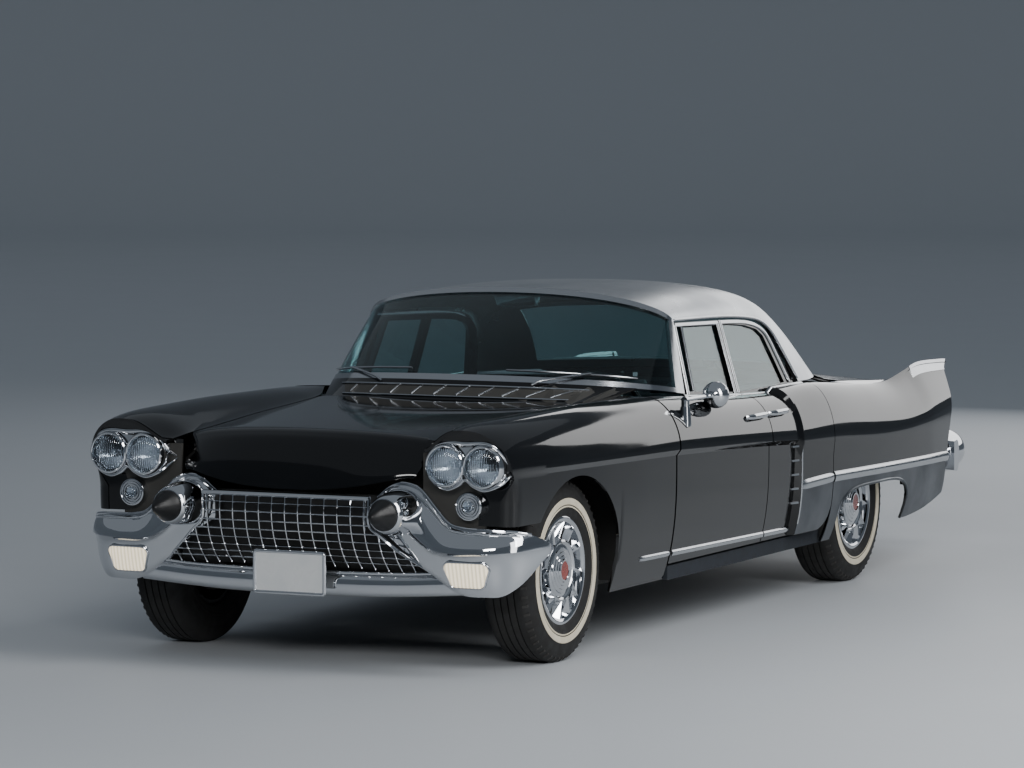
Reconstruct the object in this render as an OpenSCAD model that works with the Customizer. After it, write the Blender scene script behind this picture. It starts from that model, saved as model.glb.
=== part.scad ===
// Four-door luxury saloon with centre-opening doors. Millimetres.
// Nose to -Y, left side to +X, up +Z, ground at z = 0.

/* [Body] */
// Overall length over bumpers
body_length = 5494; // [5000:1:6000]
// Overall width
body_width = 1994; // [1800:1:2200]
// Overall height
body_height = 1410; // [1300:1:1550]
// Distance between axles
wheelbase = 3200; // [3000:1:3400]
// Nose tip to front axle
front_overhang = 880; // [780:1:980]
// Distance between wheel centre planes
track = 1549; // [1450:1:1600]

/* [Panels] */
// Sheet and flange thickness of the body panels
skin = 12; // [8:1:16]
// Thickness of the roof shell
roof_skin = 18; // [14:1:22]
// Thickness of the window glass
glass_skin = 6; // [4:1:8]
// Gap between a lid and its neighbours
panel_gap = 8; // [7:1:12]
// Gap at the hinge edge of a door
hinge_gap = 10; // [9:1:14]
// Hinge pin radius
hinge_pin = 4; // [3:0.5:6]
// Front edge of the front door, share of the wheelbase behind the front axle
door_front_at = 0.2975; // [0.28:0.0005:0.31]
// Meeting line of the doors, share of the wheelbase behind the front axle
door_meet_at = 0.61; // [0.6:0.0005:0.62]
// Start of the rear bulge, share of the wheelbase behind the front axle
scoop_at = 0.7047; // [0.69:0.0005:0.72]
// Rear edge of the rear door, share of the wheelbase behind the front axle
door_rear_at = 0.8247; // [0.815:0.0005:0.835]

/* [Wheels] */
// Tyre outer radius
tyre_radius = 360; // [340:1:380]
// Tyre section width
tyre_width = 215; // [190:1:240]
// Rim radius
rim_radius = 204; // [190:1:215]
// Spindle radius
spindle_radius = 28; // [20:1:36]
// Kingpin radius
kingpin_radius = 22; // [16:1:26]
// Radial play of a bearing
bearing_play = 0.3; // [0.2:0.1:0.6]

/* [Front] */
// Bullet radius at its tip ring
bullet_radius = 68; // [55:1:80]
// Headlamp radius
lamp_radius = 72; // [65:1:80]
// Grille cells across the upper field
grille_columns = 13; // [9:1:25]
// Grille rows of the upper and lower field
grille_rows = [5, 6];
// Plate fixing hole spacing
plate_spacing = 178; // [150:1:200]

/* [Hidden] */
$fn = 48;
nose = -body_length / 2;
tail = body_length / 2;
front_axle = nose + front_overhang;
rear_axle = front_axle + wheelbase;
// Drawn stations, brought to the named sizes by X, Y and Z
function X(x) = x * body_width / 1994;
drawn = [-2747, -1867, 1333, 2747];
function Y(y) = lookup(y, [[drawn[0], nose], [drawn[1], front_axle], [drawn[2], rear_axle], [drawn[3], tail]]);
function Z(z) = lookup(z, [[0, 0], [360, tyre_radius], [1410, body_height]]);
function P(p) = [X(p[0]), Y(p[1]), Z(p[2])];
function placed(G) = [for (r = G) [for (p = r) P(p)]];
half_track = X(track / 2);
axle_f = drawn[1];
axle_r = drawn[2];
door_front_y = axle_f + (axle_r - axle_f) * door_front_at;
door_meet_y = axle_f + (axle_r - axle_f) * door_meet_at;
door_rear_y = axle_f + (axle_r - axle_f) * door_rear_at;
scoop_y = axle_f + (axle_r - axle_f) * scoop_at;
// Hinge pins: across and along of the doors, along and height of the lids
pin_front = [926, door_front_y + 115];
pin_rear = [962, door_rear_y - 75];
pin_hood = [-1140, 915];
pin_trunk = [1590, 892];
hinge_z = [565, 665];
sill_z = 232;
door_z = 296;
lamp_x = [659, 817];
lamp_z = 811;
lamp_y = -2420;
lamp_r = lamp_radius * body_height / 1410;
seal = 0.6;
bullet = [470, 627];

BLACK = [0.02, 0.02, 0.025];
CHROME = [0.75, 0.76, 0.78];
STEEL = [0.6, 0.61, 0.62];
GLASS = [0.45, 0.6, 0.62, 0.5];
DARK = [0.1, 0.1, 0.11];
LEATHER = [0.28, 0.3, 0.33];
RUBBER = [0.05, 0.05, 0.05];

// Curve tools
function lerp(a, b, t) = a + (b - a) * t;
function bez(a, b, c, d, t) =
  a * pow(1 - t, 3) + b * 3 * t * pow(1 - t, 2) + c * 3 * t * t * (1 - t) + d * pow(t, 3);
function row_at(T, y, i = 0) = (i >= len(T) - 2 || y < T[i + 1][0]) ? i : row_at(T, y, i + 1);
function slope(T, i, c) =
  let (a = max(0, i - 1), b = min(len(T) - 1, i + 1)) (T[b][c] - T[a][c]) / (T[b][0] - T[a][0]);
function at(T, y, c) =
  let (
    i = row_at(T, y),
    h = T[i + 1][0] - T[i][0],
    s = max(0, min(1, (y - T[i][0]) / h)),
    s2 = s * s,
    s3 = s2 * s
  )
  T[i][c] * (2 * s3 - 3 * s2 + 1) + slope(T, i, c) * h * (s3 - 2 * s2 + s)
  + T[i + 1][c] * (3 * s2 - 2 * s3) + slope(T, i + 1, c) * h * (s3 - s2);

// Points moved inward along the surface normal
function inset(G, d) = [for (i = [0:len(G) - 1]) [for (j = [0:len(G[0]) - 1])
  let (
    du = G[min(i + 1, len(G) - 1)][j] - G[max(i - 1, 0)][j],
    dv = G[i][min(j + 1, len(G[0]) - 1)] - G[i][max(j - 1, 0)],
    n = cross(du, dv)
  ) G[i][j] - n * d / max(0.001, norm(n))]];

// Half a row of points, in eighths from the edge to the middle, and its mirror image
function whole(L) = concat([for (k = [0:8]) L(k / 8)], [for (k = [7:-1:0]) let (p = L(k / 8)) [-p[0], p[1], p[2]]]);

// A row of points drawn back towards another row, by the width of a seal
function drawn_back(a, b) = [for (k = [0:len(a) - 1]) a[k] + (b[k] - a[k]) * seal / norm(b[k] - a[k])];
function turned(G) = [for (j = [0:len(G[0]) - 1]) [for (i = [0:len(G) - 1]) G[i][j]]];
function ends_back(G) = let (n = len(G)) [for (i = [0:n - 1])
  i == 0 ? drawn_back(G[0], G[1]) : i == n - 1 ? drawn_back(G[n - 1], G[n - 2]) : G[i]];
function part_of(G, i0, i1, j0, j1) = [for (i = [i0:i1]) [for (j = [j0:j1]) G[i][j]]];
function pane_of(G, i0, i1, j0, j1) = turned(ends_back(turned(ends_back(part_of(G, i0, i1, j0, j1)))));

// Closed sheet between two point grids, with the cells that keep() names
module sheet(outer, inner, keep = function (i, j) true) {
  n = len(outer);
  m = len(outer[0]);
  k = n * m;
  pts = concat([for (r = outer) for (p = r) p], [for (r = inner) for (p = r) p]);
  on = function (i, j) i >= 0 && j >= 0 && i < n - 1 && j < m - 1 && keep(i, j);
  faces = [for (i = [0:n - 2]) for (j = [0:m - 2]) if (on(i, j))
    let (
      a = i * m + j,
      b = a + m,
      c = b + 1,
      d = a + 1,
      rim = concat(on(i - 1, j) ? [] : [[a, d]], on(i, j + 1) ? [] : [[d, c]],
        on(i + 1, j) ? [] : [[c, b]], on(i, j - 1) ? [] : [[b, a]])
    )
    each concat(
      [[a, d, c], [a, c, b], [a + k, b + k, c + k], [a + k, c + k, d + k]],
      [for (e = rim) each e[0] < e[1]
        ? [[e[1], e[0], e[0] + k], [e[1], e[0] + k, e[1] + k]]
        : [[e[1], e[0], e[1] + k], [e[0], e[0] + k, e[1] + k]]])];
  polyhedron(pts, faces);
}

// Solid through a row of closed rings
module loft(rings) {
  n = len(rings);
  m = len(rings[0]);
  pts = [for (r = rings) for (p = r) p];
  walls = [for (i = [0:n - 2]) for (j = [0:m - 1])
    let (a = i * m + j, b = i * m + (j + 1) % m, c = b + m, d = a + m)
    each [[a, b, c], [a, c, d]]];
  caps = [for (j = [1:m - 2]) each [[0, j + 1, j], [(n - 1) * m, (n - 1) * m + j, (n - 1) * m + j + 1]]];
  polyhedron(pts, concat(walls, caps));
}

module both_sides() {
  children();
  mirror([1, 0, 0]) children();
}

// Box, bars and upright pin between drawn stations
module slab(x0, x1, y0, y1, z0, z1) {
  translate(P([x0, y0, z0])) cube(P([x1, y1, z1]) - P([x0, y0, z0]));
}
module rod_x(r, x0, x1, y, z) {
  translate(P([x0, y, z])) rotate([0, 90, 0]) cylinder(r = r, h = X(x1) - X(x0));
}
module rod_y(r, y0, y1, x, z) {
  translate(P([x, y1, z])) rotate([90, 0, 0]) cylinder(r = r, h = Y(y1) - Y(y0));
}
module pin(r, x, y, z0, z1) {
  translate(P([x, y, z0])) cylinder(r = r, h = Z(z1) - Z(z0));
}

// Side of the body ahead of the scoop: y, then x and z under the crease, on the crease, on the crown and at
// the inner edge, and how keen the crown is, from 0 for a round shoulder to 1 for the edge of a fin
side_front = [
  [-2560, 902, 770, 906, 796, 738, 945, 578, 862, 0],
  [-2450, 917, 769, 922, 795, 745, 965, 558, 872, 0],
  [-2335, 923, 768, 932, 793, 755, 974, 538, 890, 0],
  [-2100, 930, 765, 946, 788, 768, 980, 548, 904, 0],
  [-1700, 938, 759, 955, 781, 776, 988, 580, 926, 0],
  [-1300, 942, 752, 960, 775, 782, 988, 600, 946, 0],
  [-1100, 943, 748, 961, 772, 790, 986, 612, 960, 0],
  [-900, 944, 744, 962, 768, 804, 980, 690, 984, 0],
  [-600, 945, 735, 964, 757, 822, 963, 776, 961, 0],
  [-100, 946, 719, 965, 741, 826, 934, 778, 932, 0],
  [480, 946, 692, 966, 712, 826, 914, 778, 912, 0]
];

// Side of the body behind the scoop, same columns
side_rear = [
  [400, 970, 630, 978, 700, 836, 938, 780, 932, 0],
  [830, 979, 620, 985, 690, 852, 938, 770, 930, 0],
  [1333, 984, 600, 987, 670, 864, 906, 698, 905, 0.15],
  [1700, 982, 590, 985, 670, 868, 893, 690, 893, 0.4],
  [1950, 977, 585, 980, 680, 872, 928, 690, 880, 0.85],
  [2130, 970, 580, 973, 690, 873, 957, 690, 866, 1],
  [2450, 946, 575, 949, 715, 870, 955, 690, 836, 1],
  [2560, 933, 575, 936, 725, 866, 950, 690, 822, 1]
];

// Point of the body side: t 0..1 lower panel, 1..2 crease, 2..3 shoulder, 3..4 inner slope
function side(T, y, t, foot) =
  let (
    u = [at(T, y, 1), y, at(T, y, 2)],
    c = [at(T, y, 3), y, at(T, y, 4)],
    n = [at(T, y, 5), y, at(T, y, 6)],
    e = [at(T, y, 7), y, at(T, y, 8)],
    k = at(T, y, 9)
  )
  t <= 1 ? let (
      z = lerp(foot, u[2], t),
      f = (z - sill_z) / (u[2] - sill_z)
    ) [u[0] - 62 * pow(max(0, 1 - f), 3), y, z]
  : t <= 2 ? lerp(u, c, t - 1)
  : t <= 3 ? bez(c, [c[0], y, lerp(c[2], n[2], 0.5)],
      [lerp(n[0], c[0], lerp(0.55, 0.12, k)), y, n[2] - 70 * k], n, t - 2)
  : bez(n, [lerp(n[0], e[0], lerp(0.5, 0.1, k)), y, n[2] - 50 * k],
      [lerp(e[0], n[0], lerp(0.25, 0.55, k)), y, lerp(e[2], n[2], lerp(0.15, 0.1, k))], e, t - 3);

// Wheel openings: an oval over the front wheel, a flat-topped one over the rear wheel
arch = [412, 375];
spat = [445, 457];
function arch_z(y) = 360 + arch[1] * sqrt(max(0, 1 - pow((y - axle_f) / arch[0], 2)));
function spat_z(y) =
  let (f = min(1, abs(y - axle_r + 12) / spat[0])) 250 + (spat[1] - 250) * pow(max(0, 1 - pow(f, 4)), 0.25);

// Shift of the end rows of a wing: t and shift
function lean(rows, t, y, end, reach) = y + lookup(t, rows) * max(0, 1 - abs(y - end) / reach);

module fender() color(BLACK) union() {
  rows = [0, 0.35, 0.7, 1, 2, 2.25, 2.5, 2.75, 3, 3.3, 3.65, 4];
  lip = [[0, 20], [1, 20], [2, 0], [3, -80], [4, -30]];
  y0 = -2450;
  foot = 580;
  cols = concat(
    [for (y = [y0, -2400, -2340]) [y, foot]],
    [for (a = [158:-12:14]) let (y = axle_f + arch[0] * cos(a)) [y, y < axle_f ? max(foot, arch_z(y)) : arch_z(y)]],
    [[axle_f + arch[0] - 1, 388], [axle_f + arch[0] + 1, sill_z]],
    [for (y = [-1330, -1120, door_front_y - hinge_gap]) [y, sill_z]]);
  G = placed([for (c = cols) [for (t = rows) side(side_front, lean(lip, t, c[0], y0, 260), t, c[1])]]);
  sheet(G, inset(G, skin));
  slab(748, 938, -990, -970, 580, 640);
}

// Inner face of a door: outer points brought to the trim plane, free edge cut back
function door_inner(G, back0, back1) = [for (i = [0:len(G) - 1]) [for (j = [0:len(G[0]) - 1])
  let (
    p = G[i][j],
    top = G[i][len(G[0]) - 1],
    deep = min(1, (top[2] - p[2]) / 160),
    y = p[1] + (i == 0 ? back0 : i == len(G) - 1 ? -back1 : 0)
  ) [top[0] - 48 + 44 * deep, y, p[2] + (j == 0 ? 6 : 0)]]];
door_rows = [0, 0.15, 0.35, 0.7, 1, 2, 2.25, 2.5, 2.75, 3];

module door_front_body() {
  ys = [for (s = [0:0.125:1]) lerp(door_front_y, door_meet_y - panel_gap / 2, s)];
  G = [for (y = ys) [for (t = door_rows) side(side_front, y, t, door_z)]];
  sheet(placed(G), placed(door_inner(G, 0, 26)));
}

function door_heel(y) =
  let (r = 115, f = max(0, y - door_rear_y + r) / r) door_z + r * (1 - sqrt(max(0, 1 - f * f)));

module door_rear_body() {
  front = [for (s = [0:0.2:1]) lerp(door_meet_y + panel_gap / 2, scoop_y, s)];
  rear = [for (s = [0:0.125:1]) lerp(scoop_y + 22, door_rear_y, s)];
  G = concat(
    [for (y = front) [for (t = door_rows) side(side_front, y, t, door_z)]],
    [for (y = rear) [for (t = door_rows) side(side_rear, y, t, door_heel(y))]]);
  sheet(placed(G), placed(door_inner(G, 26, 0)));
}

// Waist moulding of the quarter: y and height
waist = [[784, 524], [1060, 521], [1333, 517], [1700, 511], [2000, 507], [2243, 504], [2336, 501]];
module quarter() color(BLACK) union() {
  rows = [0, 0.35, 0.7, 1, 2, 2.25, 2.5, 2.75, 3, 3.3, 3.65, 4];
  a0 = axle_r - 12 - spat[0];
  a1 = axle_r - 12 + spat[0];
  end = 2440;
  cols = concat(
    [[door_rear_y + hinge_gap, sill_z], [a0 - 1, sill_z]],
    [for (k = [0:12]) let (y = lerp(a0, a1, (1 - cos(k * 15)) / 2)) [y, spat_z(y)]],
    [for (s = [0.02, 0.25, 0.5, 0.75, 1]) [lerp(a1, end, s), lerp(252, 360, s * s)]]);
  lip = [[0, -150], [1, -60], [2, 0], [3, 90], [4, 60]];
  G = placed([for (c = cols) [for (t = rows) side(side_rear, lean(lip, t, c[0], end, 300), t, c[1])]]);
  sheet(G, inset(G, skin));
  slab(815, 974, 838, 856, 590, 650);
  loft(placed([for (w = waist) let (x = at(side_rear, w[0], 1))
    [[x - 4, w[0], w[1] - 24], [x + 7, w[0], w[1] - 16], [x + 12, w[0], w[1]], [x + 7, w[0], w[1] + 16],
      [x - 4, w[0], w[1] + 24]]]));
}

// Bonnet: seam x y z and middle y z of the nose rows, then rows along the wing seam
module hood() color(BLACK) difference() {
  nose_rows = [
    [500, -2440, 752, -2532, 700],
    [510, -2430, 772, -2525, 745],
    [522, -2400, 808, -2502, 820],
    [524, -2368, 850, -2466, 890],
    [524, -2345, 878, -2432, 917]
  ];
  top_rows = [for (y = [-2325, -2240, -2080, -1850, -1600, -1400, -1250, -1150])
    let (s = (y + 1150) / -1175)
    [at(side_front, y, 7) - panel_gap, y, at(side_front, y, 8), lerp(-1172, -2405, s), lerp(960, 928, pow(s, 1.3))]];
  G = placed([for (r = concat(nose_rows, top_rows))
    let (e = [r[0], r[1], r[2]], c = [0, r[3], r[4]])
    whole(function (t) bez(e, e + [-60, lerp(0, c[1] - e[1], 0.3), 14], c + [330, 0, 0], c, t))]);
  union() {
    sheet(G, inset(G, skin));
    both_sides() {
      slab(440, 456, -1290, -1250, pin_hood[1] - 9, 946);
      slab(440, 456, -1290, pin_hood[0], pin_hood[1] - 9, pin_hood[1] + 9);
      rod_x(9, 440, 456, pin_hood[0], pin_hood[1]);
    }
  }
  both_sides() rod_x(hinge_pin + bearing_play, 430, 460, pin_hood[0], pin_hood[1]);
}

// Boot lid: seam y z and middle y z
module trunk_lid() color(BLACK) difference() {
  rows = [
    [1600, 898, 1600, 934], [1700, 893, 1700, 930], [1950, 880, 1950, 915], [2150, 865, 2150, 895],
    [2350, 848, 2370, 872], [2470, 832, 2500, 850], [2530, 800, 2565, 812], [2560, 740, 2596, 745],
    [2575, 640, 2610, 640]
  ];
  G = placed([for (r = rows)
    let (e = [at(side_rear, r[0], 7) - panel_gap, r[0], r[1]], c = [0, r[2], r[3]])
    whole(function (t) bez(e, lerp(e, c, 0.3) + [0, 0, 8], c + [320, 0, 0], c, t))]);
  union() {
    sheet(G, inset(G, skin));
    both_sides() {
      slab(400, 416, pin_trunk[0] - 10, 1760, pin_trunk[1] - 8, pin_trunk[1] + 8);
      slab(400, 416, 1720, 1760, pin_trunk[1], 914);
    }
  }
  both_sides() rod_x(hinge_pin + bearing_play, 390, 420, pin_trunk[0], pin_trunk[1]);
}

// Roof canopy: v, side edge x y z, middle y z, handle x y z at the edge, handle at the middle
canopy_rows = [
  [0, 709, -412, 1274, -522, 1402, -5, -110, 70, 430],
  [0.25, 711, 100, 1266, 60, 1410, -25, 0, 110, 430],
  [0.5, 716, 420, 1247, 540, 1394, -25, 15, 118, 430],
  [0.62, 723, 545, 1223, 800, 1356, -25, 50, 125, 420],
  [0.74, 737, 632, 1172, 985, 1292, -20, 130, 118, 430],
  [0.87, 762, 700, 1085, 1240, 1137, -12, 300, 74, 480],
  [1, 806, 785, 946, 1500, 958, -5, 450, 0, 580]
];
function canopy(v, u) =
  let (
    q = [for (c = [1:9]) at(canopy_rows, v, c)],
    e = [q[0], q[1], q[2]],
    m = [0, q[3], q[4]],
    p = bez(e, e + [q[5], q[6], q[7]], m + [q[8], 0, 0], m, 1 - abs(u))
  ) [u < 0 ? -p[0] : p[0], p[1], p[2]];
canopy_u = [1, 0.9, 0.8, 0.7, 0.6, 0.5, 0.33, 0.16, 0, -0.16, -0.33, -0.5, -0.6, -0.7, -0.8, -0.9, -1];
canopy_v = [0, 0.02, 0.12, 0.25, 0.37, 0.5, 0.56, 0.62, 0.68, 0.74, 0.76, 0.82, 0.88, 0.93, 0.97, 1];
canopy_grid = placed([for (v = canopy_v) [for (u = canopy_u) canopy(v, u)]]);
canopy_last = len(canopy_v) - 1;
rear_glass = [10, 14, 4, 12];
function is_rear_glass(i, j) =
  i >= rear_glass[0] && i < rear_glass[1] && j >= rear_glass[2] && j < rear_glass[3];
module roof() color(STEEL)
  sheet(canopy_grid, inset(canopy_grid, roof_skin), function (i, j) !is_rear_glass(i, j));
function rear_pane(d) =
  pane_of(inset(canopy_grid, d), rear_glass[0], rear_glass[1], rear_glass[2], rear_glass[3]);
module rear_window() color(GLASS)
  sheet(rear_pane(5), rear_pane(5 + glass_skin));

// Windscreen: wraparound sheet from the base line up to the front edge of the roof
screen_a = [90, 85, 74, 62, 52, 41, 28, 14, 0, -14, -28, -41, -52, -62, -74, -85, -90];
screen_v = [0, 0.06, 0.3, 0.62, 0.94, 1];
screen_skin = 22;
function screen(v, j) =
  let (
    a = screen_a[j],
    k = pow(abs(cos(a)), 0.8),
    base = [sign(a) * pow(abs(sin(a)), 0.8) * 785, lerp(-462, -1062, k), lerp(966, 1036, k)]
  ) lerp(base, canopy(0, canopy_u[j]), v) + [0, -30 * sin(180 * v) * k, 12 * sin(180 * v) * k];
screen_points = placed([for (v = screen_v) [for (j = [0:len(screen_a) - 1]) screen(v, j)]]);
function screen_grid(d) = let (G = inset(screen_points, d), last = len(screen_v) - 1)
  [for (i = [0:last]) i == last ? drawn_back(inset(canopy_grid, d)[0], G[last - 1]) : G[i]];
function is_screen(i, j) = i > 0 && i < len(screen_v) - 2 && j > 0 && j < len(screen_a) - 2;
function screen_pane(d) = pane_of(screen_grid(d), 1, len(screen_v) - 2, 1, len(screen_a) - 2);
module windshield() color(GLASS) sheet(screen_pane(5), screen_pane(5 + glass_skin));
module windshield_frame() color(CHROME) union() {
  sheet(screen_grid(0), screen_grid(screen_skin), function (i, j) !is_screen(i, j));
  slab(-6, 6, -540, -440, 1362, 1376);
  slab(-110, 110, -452, -440, 1310, 1376);
}

// Side windows lie in one leaning plane, drawn as y and height
belt = [797, 930];
window_lean = atan((X(belt[0]) - X(701)) / (Z(1261) - Z(belt[1])));
module window_plane() {
  s = sin(window_lean);
  c = cos(window_lean);
  multmatrix([[0, -s, c, X(belt[0])], [1, 0, 0, 0], [0, c, s, Z(belt[1])], [0, 0, 0, 1]]) children();
}
function in_plane(L) = [for (p = L) [Y(p[0]), (Z(p[1]) - Z(belt[1])) / cos(window_lean)]];
post_a = door_meet_y - 7;
post_b = door_meet_y + 7;
frame_front = [[-452, 930], [-398, 1260], [post_a, 1249], [post_a, 900]];
panes_front = [
  [[-427, 972], [-379, 1240], [-331, 1239], [-379, 970]],
  [[-364, 969], [-315, 1239], [post_a - 22, 1229], [post_a - 22, 942]]
];
frame_rear = [[post_b, 900], [post_b, 1249], [250, 1244], [400, 1236], [530, 1213], [616, 1166], [680, 1080],
  [750, 946], [738, 905]];
panes_rear = [[[post_b + 22, 938], [post_b + 22, 1229], [250, 1223], [370, 1214], [490, 1191], [545, 1160],
  [594, 1066], [650, 950], [551, 946], [470, 943]]];
module window_frame(outer, panes) {
  window_plane() translate([0, 0, -24]) linear_extrude(24) difference() {
    polygon(in_plane(outer));
    for (p = panes) polygon(in_plane(p));
  }
}
module glazing(panes) color(GLASS) window_plane() translate([0, 0, -15]) for (p = panes)
  linear_extrude(glass_skin) polygon(in_plane(p));

// Pocket of a door hinge: strap slot towards the post and pin bore
module hinge_pocket(at_pin, y0, y1) for (z = hinge_z) {
  slab(700, at_pin[0] + 11, y0, y1, z - 16, z + 16);
  pin(hinge_pin + bearing_play, at_pin[0], at_pin[1], z - 36, z + 36);
}
module door_front() color(BLACK) difference() {
  union() {
    door_front_body();
    window_frame(frame_front, panes_front);
  }
  hinge_pocket(pin_front, door_front_y - 20, pin_front[1] + 14);
}
mirror_foot = [933, -805, 936];
module door_rear() color(BLACK) difference() {
  union() {
    door_rear_body();
    window_frame(frame_rear, panes_rear);
  }
  hinge_pocket(pin_rear, pin_rear[1] - 14, door_rear_y + 20);
}
module mirror_boss() color(BLACK) pin(20, mirror_foot[0], mirror_foot[1], 868, mirror_foot[2]);
module door_mirror() color(CHROME) union() {
  pin(17, mirror_foot[0], mirror_foot[1], mirror_foot[2], mirror_foot[2] + 30);
  translate(P([mirror_foot[0], mirror_foot[1], mirror_foot[2] + 30])) rotate([-90, 0, 0]) rotate_extrude()
    polygon(concat([[0, -12], [14, -12], [14, 12], [9, 16], [9, 270]],
      [for (a = [-80:10:90]) [57 * cos(a), 327 + 57 * sin(a)]]));
}

// Front bumper wing: x, top edge y z, fold y z, lower edge y z, back y
wing_rows = [
  [352, -2450, 676, -2470, 655, -2450, 618, -2422],
  [412, -2455, 722, -2490, 680, -2450, 560, -2422],
  [470, -2455, 735, -2500, 650, -2450, 536, -2422],
  [540, -2455, 712, -2500, 610, -2450, 508, -2422],
  [600, -2456, 648, -2505, 550, -2448, 440, -2422],
  [660, -2458, 588, -2512, 500, -2446, 370, -2422],
  [720, -2458, 571, -2512, 486, -2445, 312, -2422],
  [800, -2452, 567, -2503, 485, -2443, 310, -2422],
  [870, -2430, 564, -2478, 485, -2420, 313, -2398],
  [930, -2385, 561, -2425, 486, -2375, 320, -2352],
  [970, -2320, 557, -2345, 488, -2315, 330, -2295],
  [988, -2262, 548, -2272, 492, -2262, 345, -2244]
];
wing = placed([for (r = wing_rows) [
  [r[0], r[5], r[6]],
  [r[0], lerp(r[5], r[3], 0.45), lerp(r[6], r[4], 0.6)],
  [r[0], r[3], r[4]],
  [r[0], lerp(r[3], r[1], 0.35) - 6, lerp(r[4], r[2], 0.5)],
  [r[0], r[1], r[2]],
  [r[0], r[7], r[2] - 6],
  [r[0], r[7], r[6] + 6]
]]);
// Lower bar of the bumper: x, front y, lower and upper z
bar_rows = [[0, -2478, 284, 378], [300, -2470, 287, 380], [470, -2462, 294, 384], [600, -2455, 302, 392],
  [700, -2449, 309, 400]];
bar = placed([for (x = [-700, -600, -470, -300, 0, 300, 470, 600, 700])
  let (y = at(bar_rows, abs(x), 1), a = at(bar_rows, abs(x), 2), b = at(bar_rows, abs(x), 3))
  concat([for (k = [-90:30:90]) [x, y + 40 * (1 - pow(cos(k), 0.7)), (a + b) / 2 + (b - a) / 2 * sin(k)]],
    [[x, y + 60, b - 8], [x, y + 60, a + 8]])]);
fog = [646, 836, 340, 446];
plate_z = 296;
module front_bumper() color(CHROME) union() {
  difference() {
    union() {
      loft(bar);
      both_sides() loft(wing);
    }
    both_sides() slab(fog[0], fog[1], -2600, -2437, fog[2], fog[3]);
  }
  both_sides() {
    translate(P([bullet[0], -2424, bullet[1]])) rotate([90, 0, 0]) rotate_extrude() polygon([
      [0, 0], [90, 0], [88, 80], [84, 160], [79, 225], [bullet_radius + 6, 266], [bullet_radius, 272], [0, 272]]);
    slab(360, 440, -2440, -2394, 304, 346);
  }
  slab(-60, 60, -2508, -2450, 310, 370);
}
module bumper_tips() color(RUBBER) both_sides()
  translate(P([bullet[0], -2424, bullet[1]]) - [0, 272, 0]) rotate([90, 0, 0]) rotate_extrude()
    polygon([[0, 0], [bullet_radius - 2, 0], [bullet_radius - 6, 12], [30, 40], [12, 49], [0, 51]]);

// Crate of crossing bars inside an outline given by its lower and upper half width
module crate(low, high, height, depth, pitch, rows) linear_extrude(depth) intersection() {
  union() {
    for (k = [-floor(low / pitch):floor(low / pitch)]) translate([k * pitch - 1.5, 0]) square([3, height]);
    for (k = [0:rows]) translate([-low, k * height / rows - 1.5]) square([2 * low, 3]);
    for (s = [-1, 1]) polygon([[s * low, 0], [s * high, height], [s * (high - 8), height], [s * (low - 8), 0]]);
  }
  polygon([[-low, -2], [low, -2], [high, height + 2], [-high, height + 2]]);
}
module grille() color(CHROME) union() {
  pitch = X(728) / grille_columns;
  fall = Z(545) - Z(398);
  run = Y(-2442) - Y(-2530);
  translate(P([0, -2530, 545])) rotate([90, 0, 0])
    crate(X(364), X(364), Z(678) - Z(545), 26, pitch, grille_rows[0]);
  translate(P([0, -2442, 398])) rotate([90 + atan(run / fall), 0, 0])
    crate(X(560), X(396), norm([run, fall]), 24, pitch, grille_rows[1]);
  rod_x(9, -366, 366, -2542, 678);
  rod_x(9, -380, 380, -2534, 545);
  both_sides() slab(176, 190, -2540, -2412, 590, 604);
}

module headlamp_bezels() color(CHROME) both_sides() difference() {
  union() for (x = lamp_x) rod_y(lamp_r + 13, -2505, lamp_y, x, lamp_z);
  for (x = lamp_x) rod_y(lamp_r, -2510, lamp_y + 10, x, lamp_z);
}
module headlamps() color(GLASS) both_sides() for (x = lamp_x)
  translate(P([x, lamp_y, lamp_z])) rotate([90, 0, 0]) rotate_extrude() polygon(concat(
    [[0, 0], [lamp_r, 0]], [for (k = [0:6]) [lamp_r * cos(k * 15), 55 + 22 * sin(k * 15)]]));
module marker_lamps() color(GLASS) {
  both_sides() translate(P([738, lamp_y, 655])) rotate([90, 0, 0]) rotate_extrude() polygon([
    [0, 0], [56, 0], [54, 34], [46, 40], [40, 34], [34, 40], [28, 34], [20, 42], [0, 46]]);
  both_sides() slab(fog[0], fog[1], -2468, -2437, fog[2], fog[3]);
}
module plate_blank(y0, y1, z0) difference() {
  slab(-152, 152, y0, y1, z0, z0 + 160);
  for (x = [-plate_spacing / 2, plate_spacing / 2]) translate([x, Y(y1) + 1, Z(z0 + 140)]) rotate([90, 0, 0])
    cylinder(r = 4, h = Y(y1) - Y(y0) + 2);
}
module number_plates() color([0.8, 0.8, 0.76]) {
  plate_blank(-2520, -2508, plate_z);
  plate_blank(2704, 2716, 420);
}

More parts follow.
